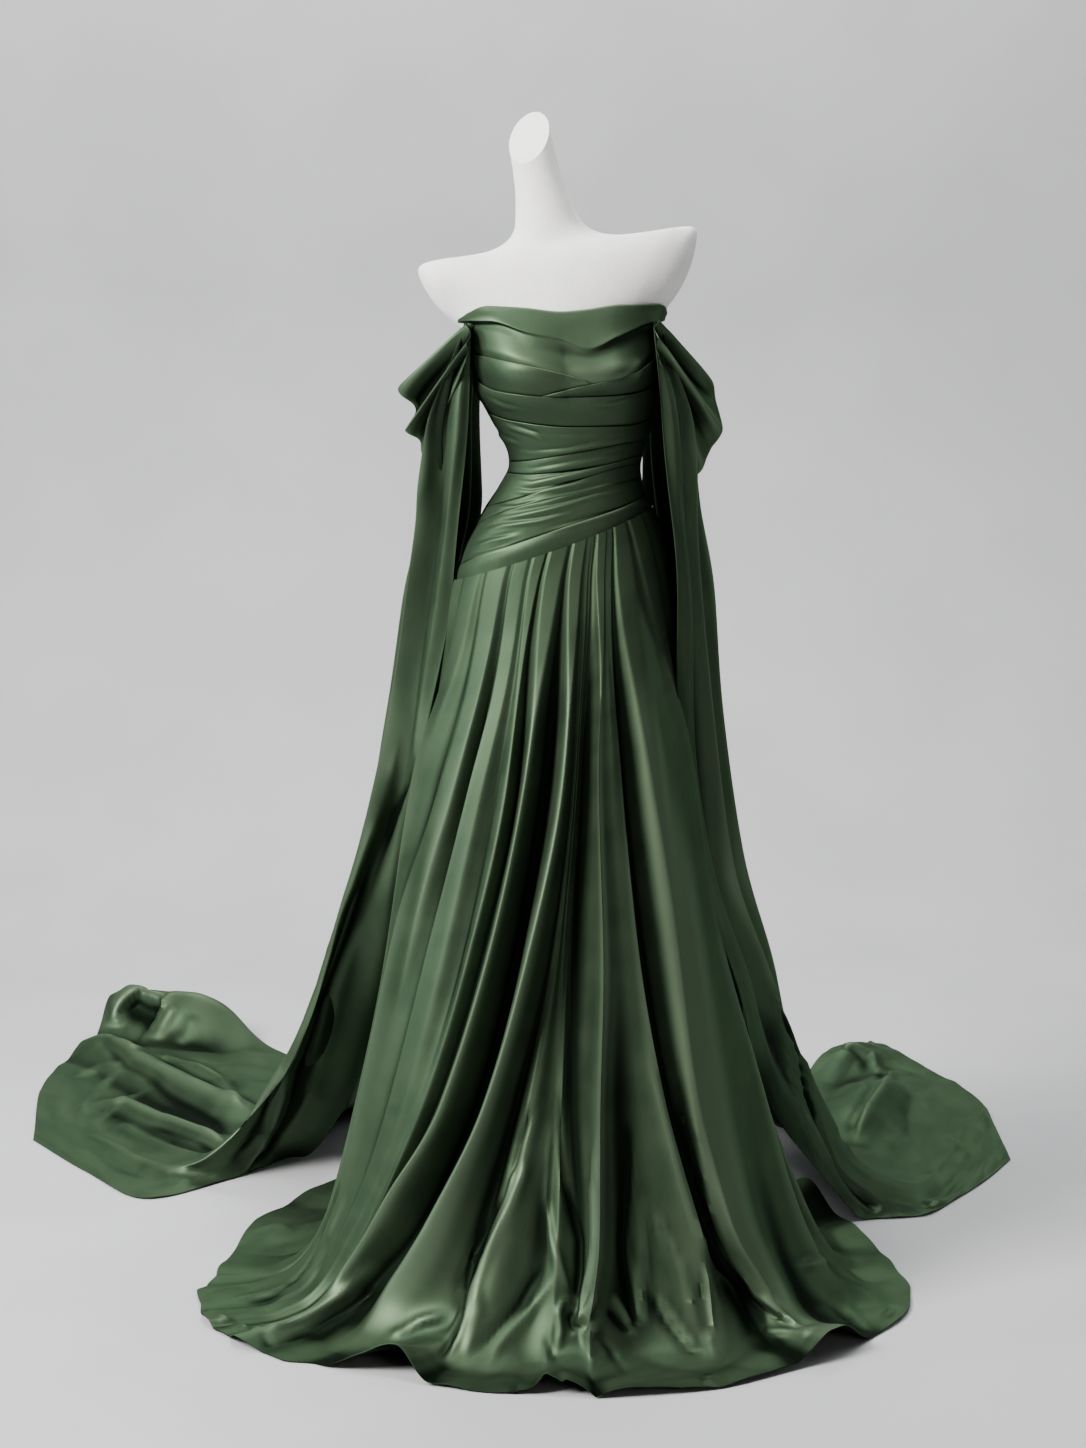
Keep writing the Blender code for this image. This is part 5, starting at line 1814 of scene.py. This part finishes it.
# the left sleeve's crest and the folds of its train
LEFT_CREASES: tuple[Crease, ...] = tuple(Crease(*row) for row in (
    (((-229, 144, 792), (-242, 93, 741), (-257, 211, 660), (-276, 147, 633), (-310, 208, 536),
        (-350, 278, 423), (-371, 312, 349), (-392, 344, 290), (-410, 381, 240), (-445, 460, 131),
        (-464, 480, 81), (-485, 486, 40), (-508, 471, 8), (-538, 434, 4)), 10, 6, (0.1, 0.05), -0.3),
    (((-209, 43, 795), (-217, 57, 742), (-245, 129, 662), (-262, 156, 613), (-298, 222, 516),
        (-333, 287, 416), (-357, 328, 343), (-371, 372, 278), (-391, 416, 220), (-425, 481, 117),
        (-445, 497, 70), (-471, 509, 21), (-507, 471, 3)), 15, -11, (0.1, 0.05)),
    (((-410, 400, 225), (-454, 445, 142), (-477, 464, 91), (-502, 464, 55),
        (-531, 446, 15)), 12, -6, (0.3, 0.1)),
    (((-857, 1187, 39), (-822, 1106, 35), (-780, 1021, 28), (-737, 959, 29), (-689, 872, 22),
        (-633, 779, 21), (-587, 701, 22), (-515, 441, 73)), 15.3, -6.4, (0.05, 0.05)),
    (((-842, 1191, 41), (-776, 1092, 42), (-726, 1141, 9), (-657, 1084, 9), (-603, 1006, 8),
        (-553, 747, 48), (-484, 432, 122)), 14, 5.9, (0.1, 0.1)),
    (((-766, 1235, 4), (-704, 1167, 6), (-649, 1112, 6), (-599, 1021, 9), (-548, 880, 9)), 14.5, -6.1),
    (((-816, 1320, 76), (-791, 1302, 62), (-759, 1286, 55)), 47.2, -19.8, (0.1, 0.1)),
    (((-838, 1286, 26), (-837, 1318, 64), (-818, 1340, 89), (-779, 1324, 86),
        (-737, 1291, 69)), 19.2, 8, (0.1, 0.1)),
    (((-762, 1249, 11), (-741, 1272, 42), (-722, 1292, 75)), 15.8, 5.7),
    (((-716, 1231, 7), (-697, 1247, 25), (-684, 1270, 58)), 17, 3.3),
    (((-890, 1035, 3), (-839, 1062, 9), (-791, 1034, 26)), 19.2, 5.4),
    (((-797, 1038, 24), (-816, 983, 3), (-827, 888, 3), (-824, 787, 4)), 13, 5, (0.1, 0.2)),
    (((-800, 725, 5), (-769, 805, 16), (-750, 905, 3), (-718, 915, 22)), 13, 5.5),
    (((-800, 690, 3), (-747, 616, 5), (-685, 522, 8), (-623, 442, 19),
        (-568, 428, 16)), 15.5, 5.6, (0.1, 0.2)),
    (((-752, 731, 7), (-682, 629, 10), (-603, 513, 22), (-538, 441, 40)), 14.1, 5.4, (0.1, 0.2)),
    (((-701, 750, 26), (-627, 649, 32), (-567, 578, 32), (-514, 452, 56)), 16.5, 5.2, (0.2, 0.2)),
    (((-713, 722, 15), (-643, 639, 23), (-584, 562, 27), (-526, 447, 47)), 13.5, -5.3),
    (((-854, 992, 3), (-847, 847, 6), (-852, 760, 3), (-854, 698, 3), (-839, 653, 3), (-789, 588, 3),
        (-693, 468, 5), (-638, 411, 7)), 13, -3.2, (0.05, 0.2)),
))
# the right sleeve's crest and the folds of its train
RIGHT_CREASES: tuple[Crease, ...] = tuple(Crease(*row) for row in (
    (((311, 203, 435), (330, 195, 362), (355, 249, 283), (361, 238, 210), (377, 221, 159), (398, 220, 105),
        (429, 228, 46), (461, 239, 11)), 6, 6, (0.3, 0.05), -0.4),
    (((322, 227, 419), (342, 218, 351), (378, 288, 253), (387, 277, 191), (410, 277, 134), (434, 259, 82),
        (472, 262, 35), (500, 256, 10)), 11, -12, (0.3, 0.05)),
    (((609, 1049, 8), (564, 848, 33), (535, 762, 33), (508, 664, 22),
        (451, 337, 93)), 13, 5.1, (0.02, 0.05), 0.6),
    (((598, 1064, 8), (553, 853, 36), (524, 762, 35), (498, 669, 24),
        (437, 316, 108)), 13, -5.1, (0.05, 0.05)),
    (((527, 1112, 40), (550, 1116, 40), (584, 1110, 25), (592, 1037, 8)), 13.1, 5.5, (0.05, 0.1)),
    (((494, 1102, 28), (527, 1112, 40), (551, 1099, 35), (568, 1076, 19),
        (553, 880, 35)), 13, -5.2, (0.05, 0.1)),
    (((653, 666, 3), (682, 599, 4), (719, 551, 4)), 13, -3),
    (((591, 444, 8), (633, 499, 5), (673, 534, 3)), 15.7, -3.4),
    (((577, 312, 10), (594, 290, 4)), 13, -3.3),
    (((587, 322, 9), (603, 303, 3)), 13, 3.3),
    (((629, 990, 7), (618, 791, 7), (614, 632, 3)), 30.6, -6.3),
))
LEFT_SLEEVE = CapeSleeve(
    node="cape_left",
    outward=-1.0,
    front=((-122, -60, 1380), (-126, -58, 1262), (-138, -36, 1134), (-151, -10, 1000), (-190, 10, 820),
        (-224, 125, 610), (-248, 270, 420), (-300, 430, 220), (-360, 530, 75), (-430, 560, 2),
        (-530, 445, 2), (-650, 345, 2), (-770, 485, 2), (-885, 655, 2)),
    outer=((-130, -66, 1379), (-182, -48, 1225), (-188, -4, 1120), (-214, 40, 1000), (-243, 105, 820),
        (-284, 170, 610), (-332, 260, 468), (-394, 350, 295), (-432, 410, 205), (-490, 435, 115),
        (-580, 425, 34), (-690, 520, 6), (-815, 740, 2), (-925, 1000, 2)),
    back=((-112, 100, 1350), (-114, 120, 1260), (-114, 145, 1134), (-140, 172, 1000), (-176, 225, 820),
        (-222, 310, 610), (-250, 430, 420), (-276, 545, 220), (-300, 680, 70), (-345, 840, 2),
        (-420, 1040, 2), (-540, 1230, 2), (-690, 1340, 2), (-850, 1390, 2)),
    lines=LEFT_FOLDS,
    stations=CAPE_STATIONS,
    rolls=(
        FloorRoll((-870, 1220), (-526, 700), 75, 40),
        FloorRoll((-900, 1370), (-600, 1290), 100, 85),
        FloorRoll((-780, 860), (-560, 560), 50, 22),
    ),
    creases=LEFT_CREASES,
    flat=(0.75, 2.33),
)
RIGHT_SLEEVE = CapeSleeve(
    node="cape_right",
    outward=1.0,
    front=((127, -62, 1384), (138, -86, 1262), (150, -78, 1134), (161, -70, 1000), (170, -62, 820),
        (200, -70, 610), (260, 20, 420), (306, 140, 240), (388, 205, 107), (478, 246, 2), (562, 262, 2),
        (635, 352, 2), (697, 450, 2), (748, 549, 2)),
    outer=((136, -66, 1383), (180, -40, 1228), (188, 10, 1120), (206, 44, 1000), (226, 80, 820),
        (258, 140, 610), (310, 220, 435), (352, 270, 305), (410, 300, 165), (472, 312, 65), (570, 325, 12),
        (650, 470, 2), (712, 650, 2), (752, 830, 2)),
    back=((116, 100, 1354), (118, 120, 1262), (122, 145, 1134), (144, 172, 1000), (180, 218, 820),
        (230, 300, 610), (262, 415, 420), (292, 530, 220), (320, 660, 70), (360, 800, 2), (420, 950, 2),
        (485, 1090, 2), (545, 1200, 2), (600, 1280, 2)),
    lines=RIGHT_FOLDS,
    stations=CAPE_STATIONS,
    rolls=(
        FloorRoll((585, 960), (500, 660), 85, 30),
        FloorRoll((600, 1180), (480, 1060), 100, 36),
    ),
    creases=RIGHT_CREASES,
    flat=(0.70, 2.10),
)


@dataclass
class ArmDrape:
    """The drape round the upper arm: it fans out in front, hangs over the arm and closes behind."""

    node: str
    outward: float
    corner: tuple[Place, ...]  # gathered at the neckline, from its top edge to its lower one
    tip: tuple[Place, ...]  # where it hangs furthest out
    close: tuple[Place, ...]  # gathered again behind
    lines: tuple[FoldLine, ...]
    stations: Row = (0.0, 0.10, 0.24, 0.38, 0.50, 0.62, 0.80, 1.0)
    rows: int = 110
    columns_per_gap: int = 12
    wall: float = 0.0010

    def grid(self) -> Array:
        """The drape's outer face: rows from front to back, columns from the top edge to the lower one.

        Returns:
            The face's points.
        """
        shares = np.linspace(0, 1, self.rows)
        loft = FoldedLoft(self.lines, self.stations, self.columns_per_gap)
        place, stand, _ = loft.read(shares)
        middle = place[self.rows // 2] / 100.0

        def profile(points: tuple[Place, ...]) -> Array:
            """A profile's points at the middle row's places."""
            keys = np.linspace(0, 1, len(points))
            return np.stack([through(middle, keys, column) for column in metres(points).T], -1)

        ends = [profile(points) for points in (self.corner, self.tip, self.close)]
        smooth = arc_between(*ends, np.broadcast_to(shares, (len(middle), self.rows))).transpose(1, 0, 2)
        normals = -self.outward * lattice_normals(blurred(smooth, 0.008))
        return smooth + normals * stand[:, :, None]

    def build(self, finishes: Finishes) -> None:
        """Makes the drape.

        Args:
            finishes: The materials.
        """
        wall = Wall(self.node + "_satin", self.grid(), self.wall, -self.outward, relief=0.016)
        sew(wall, finishes.satin)


DRAPES = (
    ArmDrape(
        "swag_left", -1.0,
        corner=((-129, -64, 1381), (-126, -76, 1373), (-126, -84, 1356), (-128, -78, 1336),
            (-130, -66, 1318)),
        tip=((-195, -4, 1304), (-221, 2, 1284), (-219.5, 6, 1268), (-214.5, 8, 1247), (-210, 12, 1228),
            (-196, 16, 1210), (-186, 24, 1192), (-168, 40, 1180)),
        close=((-123, 124, 1366), (-125, 132, 1350), (-127, 138, 1326), (-129, 140, 1300)),
        lines=(
            valley("top", across(0), FLAT),
            ridge("r1", across(10), (2, 5, 7, 8, 7, 7, 5, 2)),
            valley("v1", (24, 27, 31, 36, 36, 34, 30, 26), (-4, -11, -20, -24, -16, -10, -7, -2)),
            ridge("r2", (40, 44, 48, 53, 54, 50, 46, 42), (3, 8, 12, 10, 6, 6, 5, 2), crisp=0.3),
            valley("v2", (56, 58, 62, 66, 67, 64, 60, 56), (-3, -9, -13, -8, -3, -6, -5, -2)),
            ridge("r3", (70, 72, 75, 78, 79, 77, 74, 70), (2, 6, 8, 6, 4, 5, 4, 2)),
            valley("foot", across(100), (0, -4, -10, -14, -12, -8, -4, 0)),
        ),
    ),
    ArmDrape(
        "swag_right", 1.0,
        corner=((134, -64, 1386), (131, -76, 1377), (131, -84, 1358), (133, -78, 1337), (135, -66, 1318)),
        tip=((196, -4, 1318), (208.6, 0, 1299), (215, 4, 1279), (222, 7, 1255), (224, 10, 1236),
            (220, 13, 1218), (211, 16, 1202), (200, 20, 1186), (196, 24, 1167), (178, 36, 1148)),
        close=((128, 124, 1370), (130, 132, 1354), (132, 138, 1330), (134, 140, 1304)),
        lines=(
            valley("top", across(0), FLAT),
            ridge("r1", across(14), (3, 6, 6, 4, 3, 4, 4, 2)),
            valley("v1", (26, 28, 29, 29, 28, 29, 29, 26), (-4, -13, -9, -2, 0, -4, -5, -2)),
            ridge("r2", (40, 44, 47, 48, 48, 47, 44, 42), (3, 8, 7, 5, 4, 5, 4, 2), crisp=0.3),
            valley("v2", (56, 59, 62, 64, 64, 62, 60, 56), (-3, -9, -9, -3, -1, -4, -5, -2)),
            ridge("r3", (72, 74, 76, 78, 79, 78, 75, 72), (3, 7, 7, 5, 4, 5, 4, 2)),
            valley("foot", across(100), (0, -4, -10, -12, -10, -8, -4, 0)),
        ),
    ),
)


def main() -> None:
    """Builds the studio, the form and the gown."""
    logging.basicConfig(level=logging.INFO, format="%(name)s: %(message)s")
    finishes = Finishes()
    Studio().build(finishes.stage)
    form = DressForm()
    form.build(finishes)
    bodice = Bodice(form)
    bodice.build(finishes)
    Skirt(bodice).build(finishes)
    for sleeve in (LEFT_SLEEVE, RIGHT_SLEEVE):
        sleeve.build(finishes)
    for drape in DRAPES:
        drape.build(finishes)


if __name__ == "__main__":
    main()
